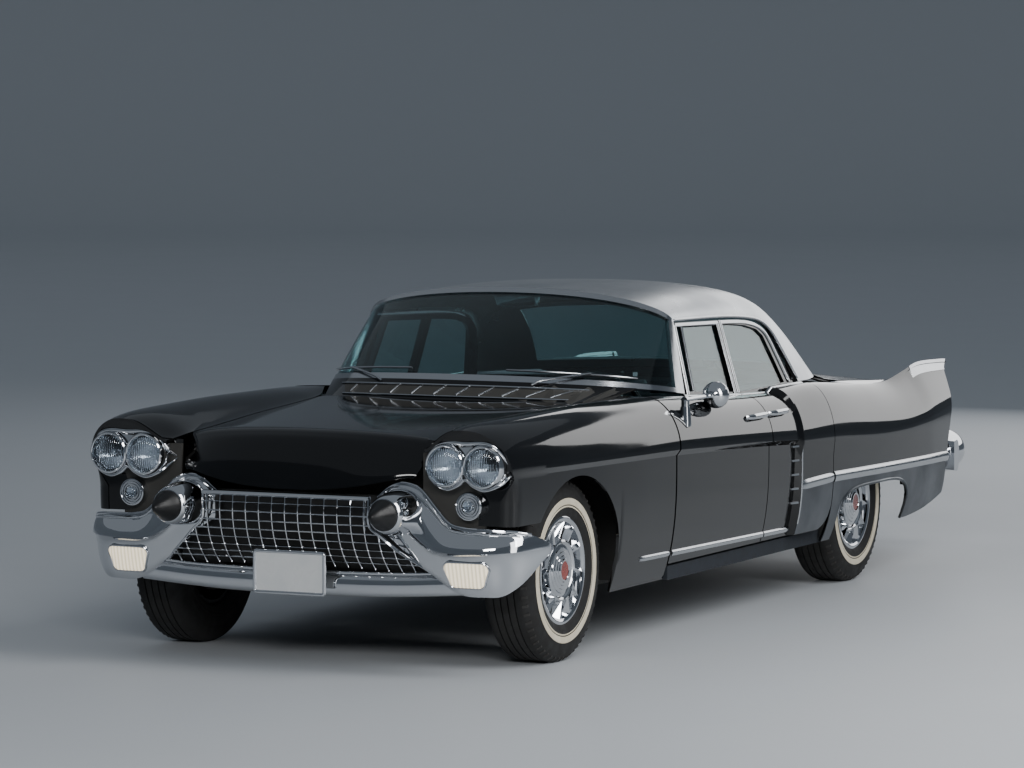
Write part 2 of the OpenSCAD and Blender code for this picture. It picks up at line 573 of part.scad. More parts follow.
// Structure
module strap(at_pin, leg, y_post) for (z = hinge_z) {
  slab(leg[0], leg[1], min(at_pin[1] - 4, y_post), max(at_pin[1] + 4, y_post), z - 10, z + 10);
  slab(leg[0], at_pin[0] + 4, at_pin[1] - 4, at_pin[1] + 4, z - 10, z + 10);
  pin(hinge_pin, at_pin[0], at_pin[1], z - 32, z + 32);
}
cowl_j = [3:13];
cowl_front = placed([[for (j = cowl_j) let (f = screen(0, j)[0] / screen(0, 3)[0])
  [596 * f, -1128 + 38 * f * f, 950]]])[0];
cowl_under = [for (p = cowl_front) p - [0, 0, skin]];
module inner_structure() color(DARK) union() {
  both_sides() difference() {
    union() {
      slab(530, 880, lamp_y, lamp_y + 18, 590, 852);
      slab(530, 790, lamp_y, lamp_y + 18, 505, 592);
    }
    for (x = lamp_x) rod_y(lamp_r - 20, lamp_y - 10, lamp_y + 30, x, lamp_z);
  }
  slab(-532, 532, -2412, -2394, 392, 680);
  both_sides() {
    slab(446, 458, -2396, -2330, 470, 760);
    slab(446, 458, -2332, -1058, 470, 860);
    slab(728, 748, -1042, -935, 250, 930);
    strap(pin_front, [728, 748], -940);
    slab(770, 815, 792, 860, 284, 900);
    strap(pin_rear, [795, 815], 795);
    slab(462, 478, pin_hood[0] - 10, -1058, 880, pin_hood[1] + 8);
    rod_x(hinge_pin, 436, 470, pin_hood[0], pin_hood[1]);
  }
  difference() {
    slab(-748, 748, -1060, -1040, 232, 948);
    slab(-150, 150, -1070, -1030, 200, 430);
  }
  for (p = [[-380, 972], [0, 1005], [380, 972]]) slab(p[0] - 10, p[0] + 10, -1072, -1050, 940, p[1]);
  sheet([cowl_front, drawn_back([for (j = cowl_j) screen_grid(0)[0][j]], cowl_front)],
    [cowl_under, drawn_back([for (j = cowl_j) screen_grid(screen_skin)[0][j]], cowl_under)]);
}
module floor_pan() color(DARK) union() {
  difference() {
    union() {
      slab(-760, 760, -1040, 945, 232, 250);
      slab(-640, 640, 940, 1022, 232, 250);
      slab(-160, 160, -1040, 1022, 232, 440);
      slab(-640, 640, 1020, 1040, 232, 535);
    }
    slab(-150, 150, -1050, 1050, 200, 430);
    both_sides() slab(400, 480, 1019, 1041, 200, 517);
  }
  both_sides() slab(758, 895, -900, 820, 226, 284);
  slab(-640, 640, 1038, 2500, 517, 535);
  slab(-640, 640, 1262, 1280, 533, 892);
  slab(-560, 560, 1262, 1535, 880, 892);
}
deck_j = [4:12];
deck_rear = placed([[for (j = deck_j) let (f = canopy(1, canopy_u[j])[0] / canopy(1, canopy_u[4])[0])
  [676 * f, 1555, 931 - 36 * f * f]]])[0];
deck_under = [for (p = deck_rear) p - [0, 0, skin]];
module rear_panel() color(BLACK) union() {
  sheet([drawn_back([for (j = deck_j) canopy_grid[canopy_last][j]], deck_rear), deck_rear],
    [drawn_back([for (j = deck_j) inset(canopy_grid, roof_skin)[canopy_last][j]], deck_under), deck_under]);
  slab(-600, 600, 1535, 1551, 846, 878);
  slab(-300, 300, 1535, 1551, 846, 915);
  both_sides() {
    slab(424, 438, 1549, pin_trunk[0] + 12, 860, pin_trunk[1] + 6);
    rod_x(hinge_pin, 396, 430, pin_trunk[0], pin_trunk[1]);
    slab(640, 922, 2380, 2396, 420, 780);
  }
  slab(-682, 682, 2540, 2556, 380, 630);
}
module chassis_frame() color(DARK) union() {
  both_sides() {
    slab(360, 440, -2394, -1300, 300, 420);
    slab(360, 480, -1310, -1240, 165, 420);
    slab(400, 480, -1300, 1080, 165, 232);
    slab(400, 480, 1020, 1080, 165, 517);
    slab(400, 480, 1020, 2540, 440, 517);
  }
  slab(-440, 440, -2340, -2280, 310, 390);
  slab(-440, 440, -1700, -1640, 300, 400);
  slab(-480, 480, 2400, 2460, 445, 510);
}
module engine() color([0.25, 0.27, 0.3]) union() {
  slab(-290, 290, -2020, -1180, 400, 860);
  slab(-130, 130, -1190, -640, 270, 420);
}
module front_suspension() color(DARK) both_sides() for (z = [[300, 326], [396, 420]]) difference() {
  union() {
    slab(440, 650, axle_f - 28, axle_f + 28, z[0], z[1]);
    pin(30, 650, axle_f, z[0], z[1]);
  }
  pin(kingpin_radius + bearing_play, 650, axle_f, z[0] - 5, z[1] + 5);
}
module rear_axle_beam() color(DARK) union() {
  rod_x(48, -650, 650, axle_r, 360);
  rod_y(105, axle_r - 110, axle_r + 120, 0, 360);
  rod_y(36, -640, axle_r - 100, 0, 360);
  both_sides() {
    pin(50, 440, axle_r, 380, 440);
    translate([half_track - 120, rear_axle, tyre_radius]) rotate([0, 90, 0]) cylinder(r = 150, h = 46);
    translate([half_track - 160, rear_axle, tyre_radius]) rotate([0, 90, 0]) cylinder(r = spindle_radius, h = 180);
  }
}
module exhaust() color(STEEL) both_sides() union() {
  rod_y(26, -1326, 2450, 250, 190);
  pin(26, 250, -1300, 190, 400);
  slab(170, 330, 100, 620, 152, 228);
}
module fuel_tank() color(DARK) slab(-200, 200, 1760, 2380, 300, 517);

// Rear end
pod = [812, 500];
pod_long = Y(2747) - Y(2396);
lens_set = 27;
module rear_bumper() color(CHROME) union() {
  loft(placed([for (x = [-940, -900, -800, -500, 0, 500, 800, 900, 940])
    let (y = lerp(2690, 2560, pow(abs(x) / 940, 4)))
    concat([for (k = [90:-30:-90]) [x, y - 40 * (1 - pow(cos(k), 0.7)), 490 + 75 * sin(k)]],
      [[x, y - 70, 420], [x, y - 70, 560]])]));
  both_sides() {
    translate(P([pod[0], 2396, pod[1]])) rotate([-90, 0, 0]) rotate_extrude() polygon([
      [0, 0], [116, 0], [122, 0.46 * pod_long], [118, 0.85 * pod_long], [104, pod_long], [84, pod_long],
      [84, pod_long - lens_set], [0, pod_long - lens_set]]);
    slab(400, 480, 2556, 2650, 460, 510);
  }
  slab(-70, 70, 2640, 2704, 470, 540);
}
module tail_lamps() color([0.6, 0.05, 0.04]) both_sides() {
  translate(P([pod[0], 2747, pod[1]]) - [0, lens_set, 0]) rotate([-90, 0, 0]) cylinder(r = 84, h = 18);
  rod_y(18, 2396, 2480, 872, 775);
}

// Cabin
column = [400, -640, 770];
module dashboard() color(DARK) union() {
  slab(-720, 720, -1040, -640, 900, 945);
  slab(-720, 720, -700, -640, 700, 902);
  translate(P(column)) rotate([-68, 0, 0]) {
    translate([0, 0, -40]) cylinder(r = 24, h = 258);
    cylinder(r = 9, h = 250);
  }
}
module front_seat() color(LEATHER) union() {
  both_sides() slab(170, 700, -250, 300, 250, 450);
  slab(-700, 700, -250, 300, 446, 520);
  translate(P([0, 240, 500])) rotate([-12, 0, 0]) translate([X(-700), 0, 0]) cube([X(1400), 130, Z(920) - Z(500)]);
}
module rear_seat() color(LEATHER) union() {
  both_sides() slab(170, 630, 600, 1020, 250, 450);
  slab(-630, 630, 600, 1020, 446, 545);
  translate(P([0, 1030, 562])) rotate([-14, 0, 0]) translate([X(-630), 0, 0]) cube([X(1260), 110, Z(920) - Z(562)]);
}
module steering_wheel() color(DARK)
  translate(P(column)) rotate([-68, 0, 0]) translate([0, 0, 226]) difference() {
    union() {
      rotate_extrude() translate([200, 0]) circle(r = 12);
      cylinder(r = 50, h = 40);
      translate([-195, -14, 4]) cube([390, 28, 12]);
    }
    translate([0, 0, -1]) cylinder(r = 9 + bearing_play, h = 30);
  }

// Running gear
module knuckle() color(DARK) union() {
  pin(kingpin_radius, 650, axle_f, 270, 450);
  translate([X(650), front_axle, tyre_radius]) rotate([0, 90, 0])
    cylinder(r = spindle_radius, h = half_track + 20 - X(650));
  translate([half_track - 86, front_axle, tyre_radius]) rotate([0, 90, 0]) cylinder(r = 150, h = 20);
}
module tyre() color(RUBBER) rotate([0, 90, 0]) rotate_extrude($fn = 64) {
  w = tyre_width / 2;
  polygon([[rim_radius, -78], [rim_radius + 14, -92], [rim_radius + 70, -w], [rim_radius + 110, -w + 4],
    [tyre_radius - 10, -82], [tyre_radius, -66], [tyre_radius, 66], [tyre_radius - 10, 82],
    [rim_radius + 110, w - 4], [rim_radius + 70, w], [rim_radius + 14, 92], [rim_radius, 78]]);
}
module wheel() color(CHROME) rotate([0, 90, 0]) rotate_extrude($fn = 64) {
  b = spindle_radius + bearing_play;
  polygon([[b, -60], [60, -60], [60, 10], [150, 20], [rim_radius - 14, 20], [rim_radius - 14, -78],
    [rim_radius, -78], [rim_radius, 78], [rim_radius + 10, 88], [rim_radius + 10, 92], [160, 84], [140, 70],
    [120, 84], [70, 96], [50, 100], [0, 102], [0, 26], [b, 26]]);
}
module axle_set(y, side_sign) translate([side_sign * half_track, y, tyre_radius])
  scale([side_sign, 1, 1]) children();

chassis_frame();
floor_pan();
inner_structure();
fender();  // fender_left
mirror([1, 0, 0]) fender();  // fender_right
grille();
front_bumper();
bumper_tips();
headlamp_bezels();
headlamps();
marker_lamps();
number_plates();
windshield();
windshield_frame();
roof();
rear_window();
quarter();  // quarter_left
mirror([1, 0, 0]) quarter();  // quarter_right
rear_panel();
rear_bumper();
tail_lamps();
dashboard();
front_seat();
rear_seat();
engine();
rear_axle_beam();
exhaust();
fuel_tank();
front_suspension();
hood();
trunk_lid();
union() {  // door_front_left
  door_front();
  mirror_boss();
}
mirror([1, 0, 0]) door_front();  // door_front_right
door_rear();  // door_rear_left
mirror([1, 0, 0]) door_rear();  // door_rear_right
glazing(panes_front);  // glass_front_left
mirror([1, 0, 0]) glazing(panes_front);  // glass_front_right
glazing(panes_rear);  // glass_rear_left
mirror([1, 0, 0]) glazing(panes_rear);  // glass_rear_right
door_mirror();
steering_wheel();
knuckle();  // knuckle_left
mirror([1, 0, 0]) knuckle();  // knuckle_right
axle_set(front_axle, 1) tyre();  // tyre_front_left
axle_set(front_axle, -1) tyre();  // tyre_front_right
axle_set(rear_axle, 1) tyre();  // tyre_rear_left
axle_set(rear_axle, -1) tyre();  // tyre_rear_right
axle_set(front_axle, 1) wheel();  // wheel_front_left
axle_set(front_axle, -1) wheel();  // wheel_front_right
axle_set(rear_axle, 1) wheel();  // wheel_rear_left
axle_set(rear_axle, -1) wheel();  // wheel_rear_right
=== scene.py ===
# %% [markdown]
# # A late-1950s four-door luxury saloon
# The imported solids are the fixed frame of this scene. Around them we lay smooth lacquered panels, bright
# trim, glass, wheels and seats. Every length in the tables is a millimetre, as on a body drawing, and one
# factor turns it into Blender's metres. Forward is -Y, and the car's left is +X.

# %% Load the frame
import math

import bmesh
import bpy
import numpy as np
from mathutils import Matrix, Vector


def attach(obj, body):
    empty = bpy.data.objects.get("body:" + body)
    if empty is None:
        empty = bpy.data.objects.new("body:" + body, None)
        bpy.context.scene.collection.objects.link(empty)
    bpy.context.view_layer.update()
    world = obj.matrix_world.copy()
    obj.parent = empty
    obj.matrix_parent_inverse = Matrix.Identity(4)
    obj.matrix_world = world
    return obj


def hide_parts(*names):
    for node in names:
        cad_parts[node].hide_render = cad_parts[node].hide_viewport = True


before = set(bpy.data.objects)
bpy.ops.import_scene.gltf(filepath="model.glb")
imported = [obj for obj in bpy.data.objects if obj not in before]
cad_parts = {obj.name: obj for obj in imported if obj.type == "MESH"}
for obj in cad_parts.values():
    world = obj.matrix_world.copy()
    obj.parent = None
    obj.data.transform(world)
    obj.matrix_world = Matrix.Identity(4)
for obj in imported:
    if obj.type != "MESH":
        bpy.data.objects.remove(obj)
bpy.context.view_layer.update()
MM = 0.001
print("nodes in the frame:", len(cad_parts))

# %% [markdown]
# ## Finishes
# A material starts from what the real one is. One function adds a node with its settings and links, and
# one turns an sRGB hex colour into the linear values that the shaders expect. Image textures would do too,
# but noise in the object's own coordinates has a real size in millimetres and no seams.

# %% Nodes and colours
def linear(hex_colour):
    channels = [int(hex_colour[i:i + 2], 16) / 255 for i in (1, 3, 5)]
    return tuple(c / 12.92 if c <= 0.04045 else ((c + 0.055) / 1.055) ** 2.4 for c in channels) + (1.0,)


def add_node(tree, kind, settings=None, links=None):
    node = tree.nodes.new(kind)
    for key, value in (settings or {}).items():
        if key in node.inputs:
            node.inputs[key].default_value = value
        else:
            setattr(node, key, value)
    for key, socket in (links or {}).items():
        tree.links.new(socket, node.inputs[key])
    return node


def finish_of(name, colour, roughness, metallic=0.0, **sockets):
    material = bpy.data.materials.new(name)
    material.use_nodes = True
    shader = material.node_tree.nodes["Principled BSDF"]
    shader.inputs["Base Color"].default_value = linear(colour)
    shader.inputs["Roughness"].default_value = roughness
    shader.inputs["Metallic"].default_value = metallic
    for key, value in sockets.items():
        shader.inputs[key.replace("_", " ")].default_value = value
    return material


print("linear mid grey:", linear("#808080"))

# %% [markdown]
# ### Relief, mottling and wear
# No real surface is even. Three functions add what the eye looks for: a fine bump, a slow change of gloss and
# colour, and edges that are rubbed bare. Each one takes a finish and gives it back, so they can be stacked.

# %% Relief, mottling and wear
# Most values of a noise texture, and of the pointiness of an edge, lie between these.
NOISE_LOW, NOISE_HIGH = 0.35, 0.65
RUBBED_FROM, RUBBED_TO = 0.52, 0.6


def grain(material, spacing_mm, stretch, depth):
    """Fine relief: noise of that spacing, stretched along the axes, as a bump of up to a millimetre."""
    tree = material.node_tree
    place = add_node(tree, "ShaderNodeTexCoord")
    turn = add_node(tree, "ShaderNodeMapping", {"Scale": stretch}, {"Vector": place.outputs["Object"]})
    noise = add_node(tree, "ShaderNodeTexNoise", {"Scale": 1 / (spacing_mm * MM), "Detail": 2.0},
                     {"Vector": turn.outputs["Vector"]})
    bump = add_node(tree, "ShaderNodeBump", {"Strength": depth, "Distance": MM},
                    {"Height": noise.outputs["Fac"]})
    tree.links.new(bump.outputs["Normal"], tree.nodes["Principled BSDF"].inputs["Normal"])
    return material


def mottle(material, spacing_mm, low, high, tint=None):
    """Slow change over the surface: roughness between two values, and the colour towards a tint."""
    tree = material.node_tree
    shader = tree.nodes["Principled BSDF"]
    place = add_node(tree, "ShaderNodeTexCoord")
    noise = add_node(tree, "ShaderNodeTexNoise", {"Scale": 1 / (spacing_mm * MM), "Detail": 4.0},
                     {"Vector": place.outputs["Object"]})
    band = {"From Min": NOISE_LOW, "From Max": NOISE_HIGH, "To Min": low, "To Max": high}
    gloss = add_node(tree, "ShaderNodeMapRange", band, {"Value": noise.outputs["Fac"]})
    tree.links.new(gloss.outputs["Result"], shader.inputs["Roughness"])
    if tint:
        ramp = add_node(tree, "ShaderNodeValToRGB", None, {"Fac": noise.outputs["Fac"]})
        first, last = ramp.color_ramp.elements
        first.position, last.position = NOISE_LOW, NOISE_HIGH
        first.color, last.color = shader.inputs["Base Color"].default_value, linear(tint)
        tree.links.new(ramp.outputs["Color"], shader.inputs["Base Color"])
    return material


def worn(material, bare):
    """Rubbed edges: where the mesh is pointed, the colour goes over to the bare one."""
    tree = material.node_tree
    colour = tree.nodes["Principled BSDF"].inputs["Base Color"]
    form = add_node(tree, "ShaderNodeNewGeometry")
    rubbed = add_node(tree, "ShaderNodeMapRange", {"From Min": RUBBED_FROM, "From Max": RUBBED_TO},
                      {"Value": form.outputs["Pointiness"]})
    mix = add_node(tree, "ShaderNodeMix", {"data_type": "RGBA"})
    tree.links.new(rubbed.outputs["Result"], mix.inputs[0])
    mix.inputs[6].default_value, mix.inputs[7].default_value = colour.default_value, linear(bare)
    if colour.is_linked:
        tree.links.new(colour.links[0].from_socket, mix.inputs[6])
    tree.links.new(mix.outputs[2], colour)
    return material


print("noise is read from", NOISE_LOW, "to", NOISE_HIGH)

# %% [markdown]
# ### Metals and paint
# Nitrocellulose lacquer over steel gives a deep black with a mirror on top. The roof is sheet stainless
# steel, brushed from front to rear, so its grain is long in Y. Chrome plate is the brightest metal, and
# the rolled mouldings are a little softer. An anisotropic shader could draw the brushing too; a stretched
# bump was chosen instead.

# %% Metals and paint
EVEN, ROLLED, BRUSHED = (1, 1, 1), (1.0, 0.03, 1.0), (1.0, 0.02, 1.0)
# Lacquer: a black mirror, with a breath of orange peel and polishing haze.
LACQUER = finish_of("black_lacquer_polished", "#060607", 0.06, Coat_Weight=0.2, Coat_Roughness=0.03)
mottle(grain(LACQUER, 12, EVEN, 0.012), 400, 0.04, 0.09)
# Plate: the brightest metal, with faint wiping marks.
CHROME = mottle(finish_of("chrome_plate_polished", "#d4d6d9", 0.05, 1.0), 120, 0.03, 0.08)
# Rolled strip: a softer mirror with fine lines along the car.
MOULDING = finish_of("stainless_moulding_rolled", "#c6c8cb", 0.14, 1.0)
mottle(grain(MOULDING, 3, ROLLED, 0.04), 90, 0.10, 0.20)
# Brushed sheet: a broad silver sheen, slightly blotchy. Real brushing is about 0.3 mm wide; here and on the
# sill it is drawn at 4 mm so that it shows from this distance.
ROOF_STEEL = finish_of("stainless_roof_brushed", "#cfd2d5", 0.30, 1.0)
mottle(grain(ROOF_STEEL, 4, BRUSHED, 0.05), 260, 0.27, 0.36, "#c4c7cb")
# Brushed aluminium: greyer and duller than the roof.
SILL_ALLOY = finish_of("aluminium_sill_brushed", "#71757a", 0.34, 1.0)
mottle(grain(SILL_ALLOY, 4, BRUSHED, 0.12), 200, 0.28, 0.42, "#666a6f")
# Chassis enamel: dull, dusty, rubbed to grey on its edges.
SATIN_BLACK = finish_of("chassis_black_satin", "#121214", 0.55)
worn(mottle(SATIN_BLACK, 80, 0.45, 0.7, "#1b1a18"), "#3a3936")
# Sand-cast iron: rough, dark and a little rusty, with paler edges.
CAST_IRON = finish_of("iron_sand_cast", "#2d2f33", 0.7, 0.4)
worn(mottle(grain(CAST_IRON, 6, EVEN, 0.3), 60, 0.6, 0.85, "#3a3532"), "#55524e")
# Exhaust steel: a dull metal that heat has turned brown in places.
PIPE_STEEL = mottle(finish_of("exhaust_steel_dull", "#6b6763", 0.45, 1.0), 70, 0.35, 0.6, "#7d6a58")
# Stoved enamel: a clean white with a half gloss, for the blank plates.
PLATE_ENAMEL = mottle(finish_of("plate_enamel_white", "#dfe0df", 0.3), 90, 0.22, 0.38, "#d6d8d8")
# Red enamel under a clear coat: a deep, glossy disc in the wheel covers.
RED_ENAMEL = mottle(finish_of("enamel_red", "#8f2a1a", 0.25, Coat_Weight=0.6), 30, 0.2, 0.32, "#7c2416")
print("metals and paint:", len(bpy.data.materials))

# %% [markdown]
# ### Glass, rubber and trim
# The windows are laminated glass with a blue-green tint. Lamp lenses are clear pressed glass, and the
# lower lamps have warm cream lenses. Tyres are black rubber with a cream band. Inside are leather, grained
# vinyl, looped carpet and cloth. All of them are one shader with its own noise, so that no surface is flat.

# %% Glass, rubber and trim
# Window glass: clear, smooth and faintly green.
TINTED_GLASS = finish_of("window_glass_tinted", "#a8c6c8", 0.0, Transmission_Weight=1.0, IOR=1.45)
mottle(TINTED_GLASS, 300, 0.0, 0.01)
# Pressed glass: clear, with a cool sparkle.
LENS_GLASS = finish_of("lamp_glass_pressed", "#eaf1f8", 0.02, Transmission_Weight=1.0, IOR=1.5)
mottle(LENS_GLASS, 40, 0.01, 0.05)
# Cream glass: milky, so that light spreads in it.
CREAM_GLASS = finish_of("lamp_glass_cream", "#f6edd6", 0.12, Transmission_Weight=0.35, IOR=1.5)
mottle(CREAM_GLASS, 25, 0.08, 0.22)
# Red glass: deep red, with a clear shine.
RED_GLASS = finish_of("lamp_glass_red", "#b0100c", 0.08, Transmission_Weight=0.4, IOR=1.5)
mottle(RED_GLASS, 25, 0.05, 0.14)
# Rubber: matt, grained, greyer where the road has rubbed it.
RUBBER = finish_of("tyre_rubber_black", "#161616", 0.72)
worn(mottle(grain(RUBBER, 3, EVEN, 0.15), 45, 0.62, 0.85, "#1d1c1b"), "#2c2a28")
# White rubber: cream and matt, never quite clean.
WHITEWALL = finish_of("tyre_rubber_white", "#e2d9c3", 0.6)
mottle(grain(WHITEWALL, 3, EVEN, 0.08), 70, 0.5, 0.7, "#d6ccb4")
# Moulded rubber of the bumper tips: black with a soft sheen.
TIP_RUBBER = mottle(grain(finish_of("bumper_tip_rubber", "#0b0b0c", 0.4), 3, EVEN, 0.06), 40, 0.3, 0.48)
# Leather: grained and polished where people sit.
LEATHER = finish_of("seat_leather_grained", "#4c555c", 0.45)
mottle(grain(LEATHER, 7, EVEN, 0.25), 120, 0.36, 0.56, "#434c53")
# Vinyl: a darker, more even grain than leather.
VINYL = finish_of("trim_vinyl_grained", "#2b3238", 0.5)
mottle(grain(VINYL, 6, EVEN, 0.2), 100, 0.42, 0.6, "#262c31")
# Carpet: no shine, and loops that catch shadow.
CARPET = finish_of("floor_carpet_looped", "#20242a", 0.95)
mottle(grain(CARPET, 9, EVEN, 0.6), 30, 0.9, 1.0, "#2a2f36")
# Headliner cloth: pale grey and quite matt.
HEADLINER = finish_of("headliner_cloth", "#8d8f8c", 0.9)
mottle(grain(HEADLINER, 8, EVEN, 0.3), 60, 0.85, 0.95, "#858782")
# Moulded plastic of the steering wheel: dark, hard and glossy.
RIM_PLASTIC = mottle(finish_of("steering_wheel_plastic", "#20262b", 0.25), 60, 0.18, 0.32, "#1b2025")
# Silvered bowl: a bright, slightly milky mirror.
REFLECTOR = mottle(finish_of("lamp_bowl_silvered", "#f0f3f6", 0.2, 0.55), 30, 0.15, 0.28)
print("all finishes:", len(bpy.data.materials))

# %% [markdown]
# ### Every solid gets its finish
# Each solid of the frame is one part of the car, so it has one finish. A table from finish to parts is
# shorter than setting them one by one, and it shows at a glance what is made of what.

# %% Dress every node of the frame
CORNERS = ("front_left", "front_right", "rear_left", "rear_right")
NODE_FINISH = {
    SATIN_BLACK: ["chassis_frame", "inner_structure", "fuel_tank", "rear_axle_beam", "front_suspension"],
    CARPET: ["floor_pan"],
    CAST_IRON: ["engine", "knuckle_left", "knuckle_right"],
    PIPE_STEEL: ["exhaust"],
    CHROME: ["grille", "front_bumper", "headlamp_bezels", "windshield_frame", "rear_bumper", "door_mirror",
             *("wheel_" + corner for corner in CORNERS)],
    ROOF_STEEL: ["roof"],
    TIP_RUBBER: ["bumper_tips"],
    LENS_GLASS: ["headlamps"],
    CREAM_GLASS: ["marker_lamps"],
    RED_GLASS: ["tail_lamps"],
    PLATE_ENAMEL: ["number_plates"],
    TINTED_GLASS: ["windshield", "rear_window", *("glass_" + corner for corner in CORNERS)],
    VINYL: ["dashboard"],
    RIM_PLASTIC: ["steering_wheel"],
    LEATHER: ["front_seat", "rear_seat"],
    RUBBER: ["tyre_" + corner for corner in CORNERS],
    LACQUER: ["fender_left", "fender_right", "quarter_left", "quarter_right", "rear_panel", "hood",
              "trunk_lid", *("door_" + corner for corner in CORNERS)],
}
for material, names in NODE_FINISH.items():
    for name in names:
        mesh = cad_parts[name].data
        mesh.materials.clear()
        mesh.materials.append(material)
print("dressed nodes:", sum(len(v) for v in NODE_FINISH.values()))

# %% [markdown]
# ## Panels from body lines
# A body engineer draws a panel as a few lines along the car and joins them with smooth sections. The
# tables below hold those lines. A cubic through the table rows gives any station, and Bezier sections
# give the points between the lines. Subdivided boxes are the other common way, but they don't hold a
# measured line.

# %% Curve helpers
def lerp(a, b, t):
    return a + (b - a) * t


def bezier(a, b, c, d, t):
    return a * (1 - t) ** 3 + b * 3 * t * (1 - t) ** 2 + c * 3 * t * t * (1 - t) + d * t ** 3


def station(table, y):
    """All columns of a table at y, by a cubic through its rows."""
    keys = table[:, 0]
    last = len(keys) - 1

    def slope(k):
        before, after = max(k - 1, 0), min(k + 1, last)
        return (table[after] - table[before]) / (keys[after] - keys[before])

    i = int(np.clip(np.searchsorted(keys, y, side="right") - 1, 0, last - 1))
    h = keys[i + 1] - keys[i]
    s = float(np.clip((y - keys[i]) / h, 0, 1))
    return (table[i] * (2 * s ** 3 - 3 * s ** 2 + 1) + slope(i) * h * (s ** 3 - 2 * s ** 2 + s)
            + table[i + 1] * (3 * s ** 2 - 2 * s ** 3) + slope(i + 1) * h * (s ** 3 - s ** 2))


def smooth_path(points, n=60):
    """Smooth line through a few points, by their distance along it."""
    points = np.asarray(points, float)
    reach = np.concatenate([[0], np.cumsum(np.linalg.norm(np.diff(points, axis=0), axis=1))])
    table = np.column_stack([reach, points])
    return np.array([station(table, s)[1:] for s in np.linspace(0, reach[-1], n)])


def normals(grid):
    """Unit vectors that stand on a grid of points."""
    n = np.cross(np.gradient(grid, axis=0), np.gradient(grid, axis=1))
    return n / np.maximum(np.linalg.norm(n, axis=2, keepdims=True), 1e-9)


def spread(stops, step):
    """Values from stop to stop, with no step longer than given."""
    values = [stops[0]]
    for a, b in zip(stops, stops[1:]):
        n = max(1, math.ceil(abs(b - a) / step))
        values += [lerp(a, b, k / n) for k in range(1, n + 1)]
    return values


print("a spread from 0 to 10:", spread([0, 10], 4))

# %% [markdown]
# ### Solids
# A solid here is two lists: points in millimetres, and faces. A closed solid with its faces to the inside has
# a negative volume, so one sum tells which way they point. Recalculating the normals in Blender does the same
# for one mesh; here it is done before solids are joined.

# %% Solids
def outward(points, faces):
    """Turns a closed solid's faces to the outside, by the sign of its volume."""
    points = np.asarray(points, float)
    fans = np.array([(f[0], b, c) for f in faces for b, c in zip(f[1:], f[2:])])
    a, b, c = points[fans].transpose(1, 0, 2)
    volume = np.sum(a * np.cross(b, c))
    return points, (faces if volume > 0 else [f[::-1] for f in faces])


def mirrored(points, faces):
    return np.asarray(points) * np.array([-1, 1, 1]), [f[::-1] for f in faces]


def joined(*solids):
    """Several solids as one, each with its faces to the outside."""
    points, faces, start = [], [], 0
    for solid in solids:
        p, f = outward(*solid)
        points.append(p)
        faces += [[v + start for v in face] for face in f]
        start += len(p)
    return np.concatenate(points), faces


def both(solid):
    """A solid and its mirror image as one."""
    return joined(solid, mirrored(*solid))


print("a mirrored point:", mirrored([(1, 2, 3)], [])[0])

# %% [markdown]
# ### Pieces
# A piece is a mesh with a finish, smooth up to its sharp edges. It rides on one body of the car, and may
# stand for a solid of the frame. Most trim comes in a left piece and its mirror image.

# %% Pieces
EDGE_DEG = 32
ON_BODY = ("body", "body")
FRONT_DOORS = ("front_door_left", "front_door_right")
REAR_DOORS = ("rear_door_left", "rear_door_right")


def mesh_of(name, solid, *materials):
    """Mesh in metres of a solid in millimetres."""
    points, faces = outward(*solid)
    mesh = bpy.data.meshes.new(name)
    mesh.from_pydata((points * MM).tolist(), [], faces)
    mesh.validate()
    for material in materials:
        mesh.materials.append(material)
    return mesh


def settle(name, mesh, body, replaces=(), sharp=EDGE_DEG):
    """Object of a mesh that is in its place: smooth up to its sharp edges, and riding on its body."""
    mesh.polygons.foreach_set("use_smooth", [True] * len(mesh.polygons))
    mesh.set_sharp_from_angle(angle=math.radians(sharp))
    made = bpy.data.objects.new(name, mesh)
    bpy.context.scene.collection.objects.link(made)
    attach(made, body)
    if replaces:
        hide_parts(*replaces)
    return made


def piece(name, solid, material, body, replaces=(), sharp=EDGE_DEG):
    return settle(name, mesh_of(name, solid, material), body, replaces, sharp)


def pair(name, solid, material, bodies, replaces=((), ())):
    """A piece on the left (+X) and its mirror image on the right."""
    piece(name + "_left", solid, material, bodies[0], replaces[0])
    piece(name + "_right", mirrored(*solid), material, bodies[1], replaces[1])


print("an edge shows from", EDGE_DEG, "degrees")

# %% [markdown]
# ### Sheets
# A panel is two grids of points with a rim between them, which gives it a real thickness. A Solidify modifier
# would do that too. Two grids were chosen because some sheets, such as window panes and the headliner, keep
# clear of the drawn surface on both sides.

# %% Sheets
def shell(grid, inner, keep=None):
    """Closed sheet between two point grids. keep(i, j) says which cells stay."""
    n, m = grid.shape[:2]
    k = n * m
    on = lambda i, j: 0 <= i < n - 1 and 0 <= j < m - 1 and (keep is None or keep(i, j))
    faces = []
    for i in range(n - 1):
        for j in range(m - 1):
            if not on(i, j):
                continue
            a, b, c, d = i * m + j, (i + 1) * m + j, (i + 1) * m + j + 1, i * m + j + 1
            faces += [(a, b, c, d), (a + k, d + k, c + k, b + k)]
            rims = [(a, d, on(i - 1, j)), (d, c, on(i, j + 1)), (c, b, on(i + 1, j)), (b, a, on(i, j - 1))]
            faces += [(p, q, q + k, p + k) for p, q, shared in rims if not shared]
    points = np.concatenate([grid.reshape(-1, 3), inner.reshape(-1, 3)])
    used = sorted({v for f in faces for v in f})
    index = {v: i for i, v in enumerate(used)}
    return points[used], [[index[v] for v in f] for f in faces]


print("faces of a sheet of one cell:", len(shell(np.zeros((2, 2, 3)), np.ones((2, 2, 3)))[1]))

